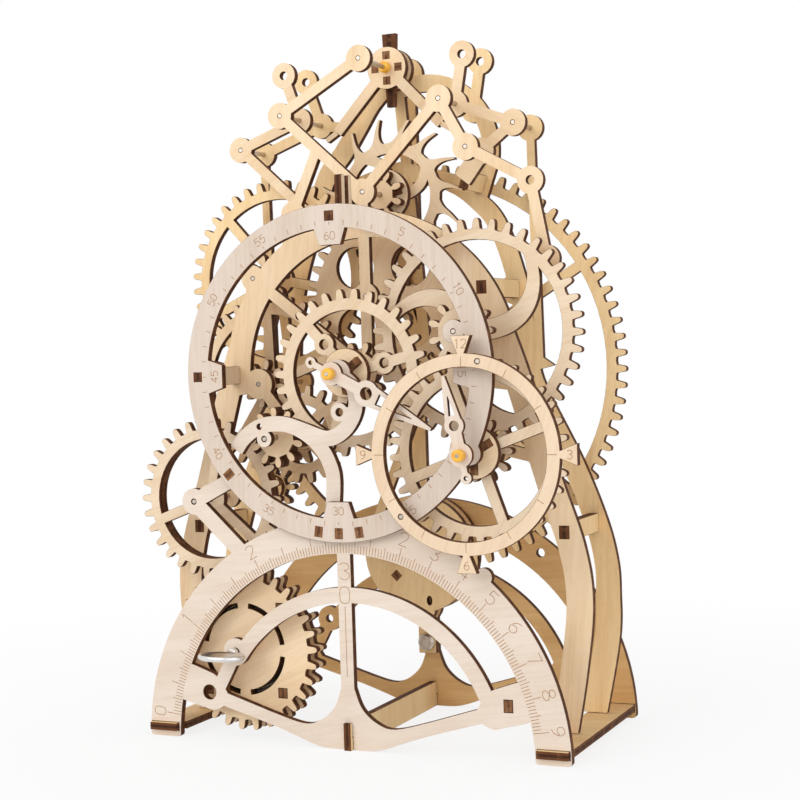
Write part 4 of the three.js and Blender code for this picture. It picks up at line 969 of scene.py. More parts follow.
def frontPlate(s):
    onRing = lambda turn: polar(minuteAxis, s["ring"] - s["ringWidth"] / 2, turn)
    adds, cuts = legs(legRoute(onRing(s["legTurn"]), s["frontBows"], s), s, s["leg"])
    branch = tuple(Vector(link["b"]).lerp(Vector(escapeAxis), s["branch"]))
    turning = [minuteAxis, thirdAxis, fourthAxis, interAxis, motionAxis, hourAxis, firstAxis]
    adds += [
        band(minuteAxis, s["ring"], s["ringWidth"], *s["ringSpan"]),
        bar(minuteAxis, escapeAxis, s["strut"]), bar(minuteAxis, thirdAxis, s["strut"]),
        bar(thirdAxis, onRing(s["thirdTurn"]), s["wideStrut"]),
        bar(secondAxis, onRing(s["secondTurn"]), s["wideStrut"]),
        bar(secondAxis, interAxis, s["strut"]), bar(motionAxis, onRing(s["motionTurn"]), s["strut"]),
        ray(hourAxis, *s["hourStub"], s["strut"]), ray(firstAxis, *s["firstStub"], s["strut"]),
        ray(barrelAxis, *s["barrelStub"], s["strut"]), disc(secondAxis, s["lobe"]),
        bar(branch, link["k"], s["link"]), bar(link["k"], onRing(s["kneeTurn"]), s["link"]),
        disc(link["k"], s["bearing"]), disc(barrelAxis, s["bearing"]),
    ]
    adds += chain(["pendulum", "b", "escape"], s) + chain(["escape", "f", "g", "j", "l"], s)
    adds += discs(turning, s["bearing"])
    pinned = turning + [secondAxis, escapeAxis, anchorAxis, link["b"], link["f"], link["g"]]
    cuts += discs(pinned, boreSizes["pin"]) + [disc(barrelAxis, s["windingHole"])]
    cuts += discs([polar(minuteAxis, *s["freeHole"]), link["j"]], s["openHole"]) + pillarSlots + postSlots
    # the plate's warmer, lighter tone is partly painted light against the shade the front arch casts on its
    # legs
    sheet("frontMainPlate", adds, cuts, *depths("front_main_plate"), "frame", ["front_main_plate"],
          "warm", 84)


def rearPlate(s):
    arch = linkPoint(*s["archPlace"])
    top = (anchorAxis[0], anchorAxis[1] - s["rearTopDrop"])
    route = legRoute(top, s["rearBows"], s)
    adds, cuts = legs(route, s, s["rearTopWidth"])
    turning = [rearAxis, fourthAxis, escapeAxis, thirdAxis, secondAxis, firstAxis, anchorAxis]
    waist, flank, shoulder, neck = (route[i] for i in (6, 7, 8, 10))
    fin = [(flank[0] + x, flank[1] + z) for x, z in s["fin"]]
    limb = [linkPoint(x, z) for x, z in s["limbRoute"]]
    archFoot = polar(arch, s["rearArch"] - s["rearArchWidth"] / 2, s["archFoot"])
    adds += [
        disc(top, s["rearTopWidth"] / 2), band(arch, s["rearArch"], s["rearArchWidth"], *s["archSpan"]),
        bar(archFoot, neck, s["rearArchWidth"]), strip(limb, s["limb"], roundSteps["limb"]),
        bar(link["b"], limb[2], s["link"]),
        fin, mirrored(fin), disc(pillarPlaces[2], s["lobe"]),
    ]
    struts = [(rearAxis, anchorAxis), (fourthAxis, shoulder), (fourthAxis, (-shoulder[0], shoulder[1])),
              (fourthAxis, escapeAxis), (rearAxis, fourthAxis), (secondAxis, (-waist[0], waist[1]))]
    adds += [bar(a, b, s["strut"]) for a, b in struts] + [ray(firstAxis, *s["firstStub"], s["strut"])]
    for p in (link["c"], link["i"]):
        adds.append(bar(p, (p[0] + s["hangerLean"], flank[1] - s["hangerDrop"]), s["hanger"]))
    adds += chain("dbc", s) + chain("hfi", s) + discs(turning, s["bearing"])
    cuts += discs(turning + [link[key] for key in "bcfi"], boreSizes["pin"])
    cuts += discs([link["d"], link["h"]], s["openHole"]) + pillarSlots
    sheet("rearMainPlate", adds, cuts, *depths("rear_main_plate"), "frame", ["rear_main_plate"], "tan", 88)


def lever(name, node, keys, s, grain, more=()):
    points = [link[key] for key in keys]
    cuts = discs(points[1:], boreSizes["pin"]) + [disc(points[0], s["openHole"])]
    sheet(name, chain(keys, s) + list(more), cuts, *depths(node), "frame", [node], "warm", grain)


def stick(node, s, half, tone, straight=False):
    # upright board on edge, with a tab at each end
    low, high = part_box(node)
    front, back, bottom, top = low.y / mm, high.y / mm, low.z / mm, high.z / mm
    inFront, inBack, mid = front + s["tabLength"], back - s["tabLength"], (bottom + top) / 2
    outline = [
        (front, mid - half), (inFront, mid - half), (inFront, bottom), (inBack, bottom), (inBack, mid - half),
        (back, mid - half), (back, mid + half), (inBack, mid + half), (inBack, top), (inFront, top),
        (inFront, mid + half), (front, mid + half),
    ]
    if straight:
        outline = oblong((front, bottom), (back, bottom + 2 * half))
    sheet(f"{node}_stick", [outline], [], low.x / mm, high.x / mm, "frame", [node], tone, 90, "yz")


def topPillar(s):
    # short leaning board between the right lever and the rear plate
    front, back = depths("pillar_top")
    x, z = link["m"]
    wide, high = (size / 2 for size in s["topPillar"])
    outline = oblong((front, z - high), (back, z + high))
    piece = sheet("topPillar", [outline], [], x - wide, x + wide, "frame", ["pillar_top"], "tan", 90, "yz")
    spot = Matrix.Translation(Vector((x, 0, z)) * mm)
    piece.data.transform(spot @ Matrix.Rotation(math.radians(-s["topPillarTurn"]), 4, "Y") @ spot.inverted())


def postFork(s):
    # two prongs that stand on the top post, behind the dial
    low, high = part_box("dial_post_top")
    x, bottom, top = topPostPlace[0], low.z / mm + s["postSide"], high.z / mm
    half = s["fork"] / 2
    for n, label in enumerate(("Front", "Back")):
        front = s["forkFront"] + n * s["forkStep"]
        prong = rounded(oblong((front, bottom), (front + s["fork"], top)), s["forkEase"], (2, 3))
        sheet(f"postProng{label}", [prong], [], x - half, x + half, "frame", [], "honey", 90, "yz")


def linkPins():
    front, back = depths("front_main_plate")[0], depths("lever_right")[1]
    roundPin("lowLinkPin", link["g"], pinRadius, front, back, "frame", [])
    for node in ("hour_dial_pin_upper", "hour_dial_pin_lower", "link_pin_left", "link_pin_far_left",
                 "link_pin_right", "link_pin_far_right"):
        roundPin(f"{node}_turned", boxPlace(node), pinRadius, *depths(node), "frame", [node])


frontPlate(plateSizes)
rearPlate(plateSizes)
lever("leverLeft", "lever_left", "dbck", plateSizes, 30)
lever("leverRight", "lever_right", "hfig", plateSizes, 150, [bar(link["g"], link["m"], plateSizes["stub"])])
topPillar(plateSizes)
for node in pillarNodes:
    stick(node, plateSizes, plateSizes["tabHalf"], "tan")
stick("dial_post_left", plateSizes, plateSizes["postSide"] / 2, "honey")
stick("dial_post_top", plateSizes, plateSizes["postSide"] / 2, "honey", True)
postFork(plateSizes)
linkPins()
print("plates and linkage made")

# dials and hands
dialSizes = {
    "minuteR": 64.7, "minuteWidth": 9, "flagDepth": 6.6, "flagOuter": 7, "flagInner": 4.5, "neck": 1,
    "hourR": 37.1, "hourWidth": 5, "flagReach": 43.6, "flagHalf": 4, "lug": 4.4, "strut": 4.6,
}
dialPins = [boxPlace("hour_dial_pin_upper"), boxPlace("hour_dial_pin_lower")]


def minuteDial(s):
    r, width = s["minuteR"], s["minuteWidth"]
    adds = hoop(minuteAxis, r, width)
    near, far = r - width - s["flagDepth"], r - width + s["neck"]
    for turn in turnsOf(4):
        # the outline begins at an outer corner
        flag = wedge(minuteAxis, turn, near, s["flagInner"], far, s["flagOuter"])
        adds.append(flag[1:] + flag[:1])
    for axis in (motionAxis, hourAxis):
        way = (Vector(axis) - Vector(minuteAxis)).normalized()
        rim = tuple(Vector(minuteAxis) + way * (r - width / 2))
        adds += [disc(axis, s["lug"]), bar(axis, rim, s["strut"])]
    cuts = discs(dialPins + [motionAxis, hourAxis], boreSizes["pin"]) + postSlots
    # the dial takes the pale tone made darker: painted shade
    sheet("minuteDial", adds, cuts, *depths("minute_dial"), "frame", ["minute_dial"], "bone", 90)


def hourDial(s):
    near, neck = s["hourR"] - s["neck"], s["neck"]
    adds = hoop(hourAxis, s["hourR"], s["hourWidth"])
    adds += [wedge(hourAxis, turn, near, neck, s["flagReach"], s["flagHalf"]) for turn in turnsOf(4)]
    cuts = discs(dialPins, boreSizes["pin"])
    sheet("hourDial", adds, cuts, *depths("hour_dial"), "frame", ["hour_dial"], "cream", 70)


handSizes = {
    "minute": {"turn": -28, "reach": 46, "ringReach": 16.5, "ring": 5.0, "tail": 9.6},
    "hour": {"turn": 102, "reach": 29.5, "ringReach": 11, "ring": 3.8, "tail": 8.6},
    "hub": 4.5, "tailR": 2.2, "tailHole": 0.9, "stem": 4.6, "tailStem": 2.4, "tine": 1.6, "tineTurn": 55,
    "tip": 1.2, "slotTip": 0.3,
}


def hand(which, s):
    # ring and a slender blade with a slot up its middle
    h, axis = s[which], axes[which]
    turn = h["turn"]
    ring, tail = polar(axis, h["ringReach"], turn), polar(axis, -h["tail"], turn)
    lean = math.radians(s["tineTurn"])
    root, wide = h["ringReach"] + h["ring"] * math.cos(lean), 2 * h["ring"] * math.sin(lean)
    taper = (wide - s["tip"]) / (h["reach"] - root)
    slotStart = h["ringReach"] + h["ring"]
    slotEnd = root + (wide - 2 * s["tine"] - s["slotTip"]) / taper
    slotHalf = (wide - taper * (slotStart - root)) / 2 - s["tine"]
    adds = [
        disc(axis, s["hub"]), disc(ring, h["ring"]), disc(tail, s["tailR"]), bar(axis, ring, s["stem"]),
        bar(tail, axis, s["tailStem"]), wedge(axis, turn, root, wide / 2, h["reach"], s["tip"] / 2),
    ]
    cuts = [
        disc(axis, boreSizes["pin"]), disc(ring, h["ring"] / 2), disc(tail, s["tailHole"]),
        wedge(axis, turn, slotStart, slotHalf, slotEnd, s["slotTip"] / 2),
    ]
    sheet(f"{which}Hand", adds, cuts, *depths(f"{which}_hand"), which, [f"{which}_hand"], "pale", turn)


bushSizes = {"radius": 2.3, "ease": 0.5, "pin": 0.8, "pinProud": 0.4, "pinDepth": 1, "pinEase": 0.2}


def bush(node, body, s):
    front, back = depths(node)
    spot = boxPlace(node)
    roundPin(f"{node}_turned", spot, s["radius"], front, back, body, [node], bushFinish, "silicone",
             s["ease"])
    pinFront, pinBack = front - s["pinProud"], front + s["pinDepth"]
    roundPin(f"{node}_pin", spot, s["pin"], pinFront, pinBack, body, [], ease=s["pinEase"])


minuteDial(dialSizes)
hourDial(dialSizes)
hand("minute", handSizes)
hand("hour", handSizes)
bush("minute_bush", "minute", bushSizes)
bush("hour_bush", "hour", bushSizes)
bush("anchor_bush", "pendulum", bushSizes)
print("dials and hands made")

# engraved scales: ticks by the tree, numbers as single strokes, curved or straight, in a box one wide
digitHeight = 1.6
strokes = {
    "0": [(True, [(0.5, 0), (0.12, 0.15), (0, 0.5), (0, 1.1), (0.12, 1.45), (0.5, 1.6)]),
          (True, [(0.5, 1.6), (0.88, 1.45), (1, 1.1), (1, 0.5), (0.88, 0.15), (0.5, 0)])],
    "1": [(False, [(0.25, 1.3), (0.55, 1.6), (0.55, 0)])],
    "2": [(True, [(0, 1.25), (0.15, 1.52), (0.5, 1.6), (0.88, 1.5), (1, 1.2), (0.85, 0.85), (0.4, 0.4),
                  (0, 0)]),
          (False, [(0, 0), (1, 0)])],
    "3": [(True, [(0.05, 1.4), (0.5, 1.6), (0.95, 1.4), (0.95, 1.05), (0.5, 0.85)]),
          (True, [(0.5, 0.85), (1, 0.62), (1, 0.25), (0.55, 0), (0.05, 0.18)])],
    "4": [(False, [(0.75, 0), (0.75, 1.6), (0, 0.5), (1, 0.5)])],
    "5": [(False, [(0.95, 1.6), (0.1, 1.6), (0.05, 0.9)]),
          (True, [(0.05, 0.9), (0.5, 1.02), (0.95, 0.82), (1, 0.4), (0.75, 0.05), (0.35, 0), (0, 0.2)])],
    "6": [(True, [(0.85, 1.55), (0.35, 1.3), (0.05, 0.75), (0.05, 0.35), (0.3, 0.03), (0.7, 0.03),
                  (0.97, 0.3), (0.92, 0.7), (0.55, 0.9), (0.1, 0.65)])],
    "7": [(False, [(0, 1.6), (1, 1.6), (0.35, 0)])],
    "8": [(True, [(0.5, 0.85), (0.1, 1.05), (0.1, 1.4), (0.5, 1.6)]),
          (True, [(0.5, 1.6), (0.9, 1.4), (0.9, 1.05), (0.5, 0.85)]),
          (True, [(0.5, 0.85), (0, 0.6), (0, 0.22), (0.5, 0)]),
          (True, [(0.5, 0), (1, 0.22), (1, 0.6), (0.5, 0.85)])],
}
strokes["9"] = [(curved, [(1 - x, digitHeight - y) for x, y in line]) for curved, line in strokes["6"]]
engraveSizes = {"line": 0.26, "proud": 0.03, "gap": 0.35, "curveSteps": 6}


def numberStrokes(label, centre, height, up):
    # outlines of a number's strokes, centred on a point, its top turned to an angle
    e = engraveSizes
    size = height / digitHeight
    wide = len(label) + e["gap"] * (len(label) - 1)
    outlines = []
    for n, digit in enumerate(label):
        for curved, line in strokes[digit]:
            spots = []
            for x, y in line:
                across = (x + n * (1 + e["gap"]) - wide / 2) * size
                spots.append(polar(polar(centre, across, up - 90), y * size - height / 2, up))
            if curved:
                outlines.append(strip(spots, e["line"], e["curveSteps"] * len(spots)))
                continue
            for a, b in zip(spots, spots[1:]):
                outlines += [bar(a, b, e["line"]), disc(b, e["line"] / 2)]
    return outlines


def engrave(name, outlines, face):
    # each stroke as its own thin plate, just proud of the face
    bm = bmesh.new()
    proud = engraveSizes["proud"]
    for outline in outlines:
        mesh = sheetMesh("stroke", [outline], [], face - proud, face + proud)
        bm.from_mesh(mesh)
        bpy.data.meshes.remove(mesh)
    for part in bm.faces:
        part.material_index = 0
    place(name, meshFrom(bm, name, lineFinish), "frame", [], "pale_plywood")


def ticks(name, axis, face, s):
    piece = grow(name, tickWiring, {
        "Count": s["count"], "Radius": s["radius"] * mm, "Start": math.radians(s["start"]),
        "Step": math.radians(s["step"]), "Length": s["short"] * mm, "Width": engraveSizes["line"] * mm,
        "Proud": engraveSizes["proud"] * mm, "Mid Every": s["midEvery"], "Mid Length": s["mid"] * mm,
        "Long Every": s["longEvery"], "Long Length": s["long"] * mm,
        "Place": (axis[0] * mm, face * mm, axis[1] * mm), "Line": lineFinish,
    })
    settle(piece, "frame", [], "pale_plywood")


scaleSizes = {
    "arch": {"count": 181, "radius": 76.3, "start": 8.55, "step": 0.915, "short": 3.2, "midEvery": 5,
             "mid": 4.2, "longEvery": 10, "long": 6.2, "numberR": 85.9, "height": 5.2},
    "minute": {"count": 60, "radius": 56.7, "start": 90, "step": 6, "short": 1.9, "midEvery": 60, "mid": 3.4,
               "longEvery": 5, "long": 1.2, "numberR": 60.4, "flagR": 52.6, "height": 3.0,
               "flip": (-170, -10)},
    "hour": {"count": 12, "radius": 32.3, "start": 0, "step": 30, "short": 2.9, "midEvery": 3, "mid": 3.6,
             "longEvery": 3, "long": 3.6, "numberR": 40.6, "height": 3.2},
    "post": {"threeZ": 69.2, "noughtZ": 60, "height": 6.6, "lineTop": 55.6, "lineEnd": 28.4},
    "hourStep": 30,
}


def archScale(s, post):
    face = depths("front_arch_frame")[0]
    ticks("archTicks", middle, face, s)
    outlines = []
    for index, label in [(180, "0"), (150, "1"), (120, "2")] + [(10 * n, str(9 - n)) for n in range(8)]:
        turn = s["start"] + s["step"] * index
        outlines += numberStrokes(label, polar(middle, s["numberR"], turn), s["height"], turn)
    outlines += numberStrokes("3", (0, post["threeZ"]), post["height"], 90)
    outlines += numberStrokes("0", (0, post["noughtZ"]), post["height"], 90)
    outlines.append(bar((0, post["lineTop"]), (0, post["lineEnd"]), engraveSizes["line"]))
    engrave("archNumbers", outlines, face)


def minuteScale(s, hourStep):
    # numbers of the lower half are turned to read upright
    face = depths("minute_dial")[0]
    ticks("minuteTicks", minuteAxis, face, s)
    outlines = []
    low, high = s["flip"]
    for n in range(1, 13):
        turn = 90 - hourStep * n
        up = turn + 180 if low < turn < high else turn
        reach = s["flagR"] if n % 3 == 0 else s["numberR"]
        outlines += numberStrokes(str(5 * n), polar(minuteAxis, reach, turn), s["height"], up)
    engrave("minuteNumbers", outlines, face)


def hourScale(s, hourStep):
    face = depths("hour_dial")[0]
    ticks("hourTicks", hourAxis, face, s)
    outlines = []
    for n in (3, 6, 9, 12):
        outlines += numberStrokes(str(n), polar(hourAxis, s["numberR"], 90 - hourStep * n), s["height"], 90)
    engrave("hourNumbers", outlines, face)


archScale(scaleSizes["arch"], scaleSizes["post"])
minuteScale(scaleSizes["minute"], scaleSizes["hourStep"])
hourScale(scaleSizes["hour"], scaleSizes["hourStep"])


# tab ends let into the dial and the arch
def plyAcross(mesh, origin, width, turn=0):
    # veneers laid across the piece
    along = Vector(polar(middle, 1, turn))
    for i, vert in enumerate(mesh.vertices):
        offset = Vector((vert.co.x / mm - origin[0], vert.co.z / mm - origin[1])).dot(along)
        mesh.attributes["ply"].data[i].value = 0.5 + offset / width


def dowel(name, origin, width, height, turn, front, back, body):
    # plywood tab on end: its burnt end shows
    mesh = sheetMesh(name, [block(origin, width, height, turn)], [], front, back, tabFinish, tabFinish)
    plyAcross(mesh, origin, width, turn)
    return place(name, mesh, body, [], "plywood")


tabSizes = {"reach": 61.2, "turns": (-98.1, -90, -81.9, -140.9), "wide": 3.4, "high": 4.2, "proud": 0.12}


def dialTabs(s, peg):
    front, back = depths("minute_dial")
    for n, turn in enumerate(s["turns"]):
        spot = polar(minuteAxis, s["reach"], turn)
        ends = (front - s["proud"], back + s["proud"])
        dowel(f"dialTab{n + 1}", spot, s["wide"], s["high"], turn + 90, *ends, "frame")
    x, z, wide, high = peg
    front, back = depths("front_arch_frame")
    dowel("archPeg", (x, z), wide, high, 0, front - s["proud"], back + s["proud"], "frame")


dialTabs(tabSizes, archSizes["peg"])
print("scales engraved")

# wheels with arms
# the second, inter, third and rear wheels sit deep in the movement: their warmer, more saturated tones are
# partly painted warm bounce light
armSizes = {
    "first": {"phase": firstPhase, "arms": 3, "turn": 200, "tone": "honey", "grain": 20},
    "hour": {"phase": hourPhase, "arms": 4, "turn": 20, "tone": "honey", "grain": 60},
    "second": {"phase": 0.0, "arms": 5, "turn": 20, "tone": "warm", "grain": 110},
    "third": {"phase": 0.0, "arms": 5, "turn": 60, "tone": "tan", "grain": 80},
    "inter": {"phase": 0.0, "arms": 4, "turn": 45, "tone": "warm", "grain": 35},
    "rear": {"phase": rearPhase, "arms": 5, "turn": 31, "tone": "tan", "grain": 75},
    "motion": {"phase": motionPhase, "arms": 3, "turn": 4, "sweep": 44, "width": 8, "tone": "honey",
               "grain": 15},
}
for body, s in armSizes.items():
    node = f"{body}_wheel"
    toothedPiece(f"{body}Wheel", wheelWiring, teeth[body], s, *depths(node), body, [node], boreSizes["arbor"])

# pinions: each in the layer of a wheel that it meshes with, on its own arbor
# the warmer tones of the pinions deep in the movement are partly painted warm bounce light
pinionSizes = {
    "first": {"phase": 0.0, "layer": "rear_wheel", "tone": "tan"},
    "inter": {"phase": interPhase, "layer": "minute_wheel", "to": "first_wheel", "tone": "warm"},
    "minute": {"phase": 0.0, "layer": "motion_wheel", "tone": "warm"},
    "motion": {"phase": 0.0, "layer": "hour_wheel", "tone": "honey"},
    "hour": {"phase": 0.0, "layer": "minute_wheel", "tone": "honey"},
    "second": {"phase": secondPinionPhase, "layer": "inter_wheel", "tone": "warm"},
    "third": {"phase": thirdPinionPhase, "layer": "second_wheel", "tone": "warm"},
    "fourth": {"phase": fourthPinionPhase, "layer": "third_wheel", "tone": "warm"},
    "escape": {"phase": escapePinionPhase, "layer": "fourth_wheel", "tone": "warm"},
}
pinionProud = 0.5
pinionGrain = 45


def pinion(body, s):
    node = f"{body}_pinion_arbor"
    front = depths(s["layer"])[0] - pinionProud
    back = depths(s.get("to", s["layer"]))[1] + pinionProud
    look = {**s, "grain": pinionGrain}
    bore = boreSizes["pinion"]
    toothedPiece(f"{body}Pinion", petalWiring, pinionTeeth[body], look, front, back, body, [node], bore)
    roundPin(f"{body}Arbor", axes[body], pinRadius, *depths(node), body, [])


for body, s in pinionSizes.items():
    pinion(body, s)
roundPin("rearArbor", rearAxis, pinRadius, *depths("rear_arbor"), "rear", ["rear_arbor"])
print("wheels and pinions made")

# round cheeks beside three of the pinions, held by tabs, and a second ring behind the first wheel
cheekSizes = {
    "minute": {"radius": 9.6, "front": -3.4, "layer": "minute_wheel", "tabs": 3, "turn": 38, "proud": 2.4},
    "hour": {"radius": 9.8, "front": -3.2, "layer": "hour_wheel", "tabs": 3, "turn": 30, "proud": 0.2},
    "escape": {"radius": 10.8, "front": 3.6, "layer": "fourth_wheel", "tabs": 4, "turn": 12, "proud": 0.2},
    "tab": (2.8, 5.4), "tabR": 5.4, "room": 0.2, "sunk": 0.1, "ringIn": 0.2,
}


def cheek(body, c):
    s, axis = c[body], axes[body]
    front = depths(s["layer"])[0] + s["front"]
    back = front + boardThick
    wide, high = c["tab"]
    tabs = [(polar(axis, c["tabR"], turn), turn) for turn in turnsOf(s["tabs"], s["turn"])]
    cuts = [disc(axis, boreSizes["cheek"])]
    cuts += [block(p, high + c["room"], wide + c["room"], turn) for p, turn in tabs]
    sheet(f"{body}Cheek", [disc(axis, s["radius"])], cuts, front, back, body, [], "warm", 30)
    for n, (p, turn) in enumerate(tabs):
        dowel(f"{body}CheekTab{n + 1}", p, high, wide, turn, front - s["proud"], back - c["sunk"], body)


def firstRing(c):
    back = depths("first_wheel")[1]
    root = toothRadii(teeth["first"])[0]
    rings = hoop(firstAxis, root - c["ringIn"], toothSizes["rim"] - c["ringIn"])
    sheet("firstRing", rings, [], back, back + boardThick, "first", [], "warm", 70)


for body in ("minute", "hour", "escape"):
    cheek(body, cheekSizes)
firstRing(cheekSizes)

# wheels with openings of their own
minuteWheelSizes = {"arms": 3, "turn": 13, "ring": 4.2, "arm": 4.2, "armIn": 2}


def minuteWheel(s, t):
    inside = toothRadii(teeth["minute"])[0] - t["rim"]
    adds, cuts = [], [disc(minuteAxis, boreSizes["arbor"])]
    for turn in turnsOf(s["arms"], s["turn"]):
        spot = polar(minuteAxis, (inside + t["hub"]) / 2, turn)
        adds += [disc(spot, s["ring"]), ray(minuteAxis, inside + s["armIn"], turn, s["arm"])]
        cuts.append(disc(spot, s["ring"] / 2))
    adds += hoop(minuteAxis, inside + t["rim"] + t["overlap"], t["rim"] + t["overlap"])
    adds += toothCrown(teeth["minute"], minutePhase, minuteAxis) + [disc(minuteAxis, t["hub"])]
    sheet("minuteWheel", adds, cuts, *depths("minute_wheel"), "minute", ["minute_wheel"], "honey", 40)


minuteWheel(minuteWheelSizes, toothSizes)

barrelSizes = {
    "slotR": 18.5, "slot": 2, "span": 74, "tabs": 4, "tabR": 24, "tab": 3.4, "tabTurn": 45, "room": 0.6,
}


def barrel(s):
    line = toothLine(teeth["barrel"], barrelPhase, barrelAxis)
    bore, half = disc(barrelAxis, boreSizes["winding"]), s["span"] / 2
    turns = turnsOf(s["tabs"], 180 / s["tabs"])
    tabs = [(polar(barrelAxis, s["tabR"], turn), turn + s["tabTurn"]) for turn in turns]
    cuts = [bore] + [band(barrelAxis, s["slotR"], s["slot"], turn - half, turn + half) for turn in turns]
    cuts += [block(p, s["tab"] + s["room"], s["tab"] + s["room"], turn) for p, turn in tabs]
    front, back = depths("barrel_front_gear")
    sheet("barrelFrontGear", [line], cuts, front, back, "barrel", ["barrel_front_gear"], "warm", 25)
    rearBack = depths("barrel_rear_gear")[1]
    rearFront = rearBack - (back - front)
    sheet("barrelRearGear", [line], [bore], rearFront, rearBack, "barrel", ["barrel_rear_gear"], "warm", 65)
    for n, (p, turn) in enumerate(tabs):
        dowel(f"barrelTab{n + 1}", p, s["tab"], s["tab"], turn, front, rearFront, "barrel")


barrel(barrelSizes)

fourthSizes = {"holes": 4, "hole": 8.5, "reach": 17.5}


def fourthWheel(s):
    line = toothLine(teeth["fourth"], 0.0, fourthAxis)
    turns = turnsOf(s["holes"], 180 / s["holes"])
    cuts = discs([polar(fourthAxis, s["reach"], turn) for turn in turns], s["hole"])
    cuts.append(disc(fourthAxis, boreSizes["arbor"]))
    sheet("fourthWheel", [line], cuts, *depths("fourth_wheel"), "fourth", ["fourth_wheel"], "warm", 55)


fourthWheel(fourthSizes)

escapeSizes = {
    "teeth": 15, "tip": 32, "root": 22, "rim": 4.2, "arms": 4, "sweep": 35, "arm": 4.2, "hub": 6.5,
    "rooted": 1.5, "foot": (0.7, 0.1),
    "lead": [(-0.02, -0.02), (0.1, 0.05), (0.17, 0.24), (0.15, 0.55), (0.03, 1)],
    "trail": [(0.09, 1), (0.29, 0.55), (0.44, 0.24), (0.62, 0.06), (0.8, -0.02)],
}


def escapeWheel(s):
    root, rise, step = s["root"], s["tip"] - s["root"], 360 / s["teeth"]
    adds = hoop(escapeAxis, root, s["rim"]) + [disc(escapeAxis, s["hub"])]
    for i in range(s["teeth"]):
        spike = []
        for key in ("lead", "trail"):
            side = [polar(escapeAxis, root + rise * up, (i + share) * step) for share, up in s[key]]
            spike += [tuple(p) for p in smooth(side, roundSteps["spike"])]
        foot = [polar(escapeAxis, root - s["rooted"], (i + share) * step) for share in s["foot"]]
        adds.append(spike + foot)
    mid = root - s["rim"] / 2
    for turn in turnsOf(s["arms"]):
        route = [polar(escapeAxis, mid * t, turn + s["sweep"] * t * t) for t in (0, 0.25, 0.5, 0.75, 1)]
        adds.append(strip(route, s["arm"], roundSteps["arm"]))
    cuts = [disc(escapeAxis, boreSizes["arbor"])]
    sheet("escapeWheel", adds, cuts, *depths("escape_wheel"), "escape", ["escape_wheel"], "warm", 120)


escapeWheel(escapeSizes)

springSizes = {"outer": 19.2, "inner": 4.2, "coils": 14, "perCoil": 40, "strip": 0.55, "arbor": 1.5}


def mainspring(s):
    # flat spring strip wound in the space between the barrel's gears
    front, back = depths("mainspring")
    steps = s["perCoil"] * s["coils"]
    bm = bmesh.new()
    rings = []
    for i in range(steps + 1):
        outer = s["inner"] + (s["outer"] - s["inner"]) * i / steps
        inner = outer - s["strip"]
        ring = []
        for radius, y in ((outer, front), (outer, back), (inner, back), (inner, front)):
            x, z = polar(barrelAxis, radius, 360 * s["coils"] * i / steps)
            ring.append(bm.verts.new(Vector((x, y, z)) * mm))
        rings.append(ring)
    joinRings(bm, rings)
    bm.faces.new(rings[0])
    bm.faces.new(rings[-1])
    place("mainspringStrip", meshFrom(bm, "mainspringStrip", springFinish), "barrel", ["mainspring"], "steel")
    roundPin("windingArbor", barrelAxis, s["arbor"], *depths("winding_arbor"), "winder", ["winding_arbor"])


mainspring(springSizes)

keySizes = {
    "long": 10, "wide": 6.5, "thick": 2, "collar": 1.9, "length": 3.4, "collarEase": 0.6, "steps": 64,
    "bow": [(0, 0.6), (0.55, 0.6), (0.76, 0.68), (0.84, 0.96), (0.92, 1), (0.975, 0.8), (1, 0.3)],
}


def windingKey(s):
    # oval bow with a raised rim and a dished middle, on a round collar
    front, back = depths("winding_key")
    x, y, z = barrelAxis[0], front + s["wide"], barrelAxis[1]
    half = s["thick"] / 2
    bm = bmesh.new()
    rings = []
    for share, rise in s["bow"] + [(share, -rise) for share, rise in s["bow"][::-1]]:
        ring = []
        for i in range(s["steps"] if share else 1):
            angle = 2 * math.pi * i / s["steps"]
            out, along = s["long"] * share * math.cos(angle), s["wide"] * share * math.sin(angle)
            ring.append(bm.verts.new(Vector((x + out, y + along, z + half * rise)) * mm))
        rings.append(ring)
    joinRings(bm, rings)
    bow = shaded(meshFrom(bm, "windingKeyBow", keyFinish), edgeSizes["keySharp"])
    place("windingKeyBow", bow, "winder", ["winding_key"], "steel")
    collar = (s["collar"], back - s["length"], back)
    roundPin("windingKeyCollar", barrelAxis, *collar, "winder", [], keyFinish, ease=s["collarEase"])


windingKey(keySizes)
print("barrel, escapement and key made")

# anchor and pendulum
rotorSizes = {
    "disc": 8.6, "tab": 3, "tabR": 5.2, "room": 0.2, "palletX": 23.5, "palletDrop": 24.6, "pallet": 4.4,
    "toeX": 5, "toeDrop": 3, "keyTop": 3.1, "keyBottom": 1.7, "rod": 7, "bobZ": 67, "bob": 25, "lobeZ": 44,
    "lobe": 7, "diamondX": 10.6, "diamondZ": 57.5, "diamond": 3.4, "diamondTurn": 45, "weight": 3.6,
    "weightZ": 28.5, "weightIn": 4, "weightEase": 0.8, "tail": 8, "tailEnd": 23.5,
    "peep": (4.4, 47.2, 1.2, 2.0),
}


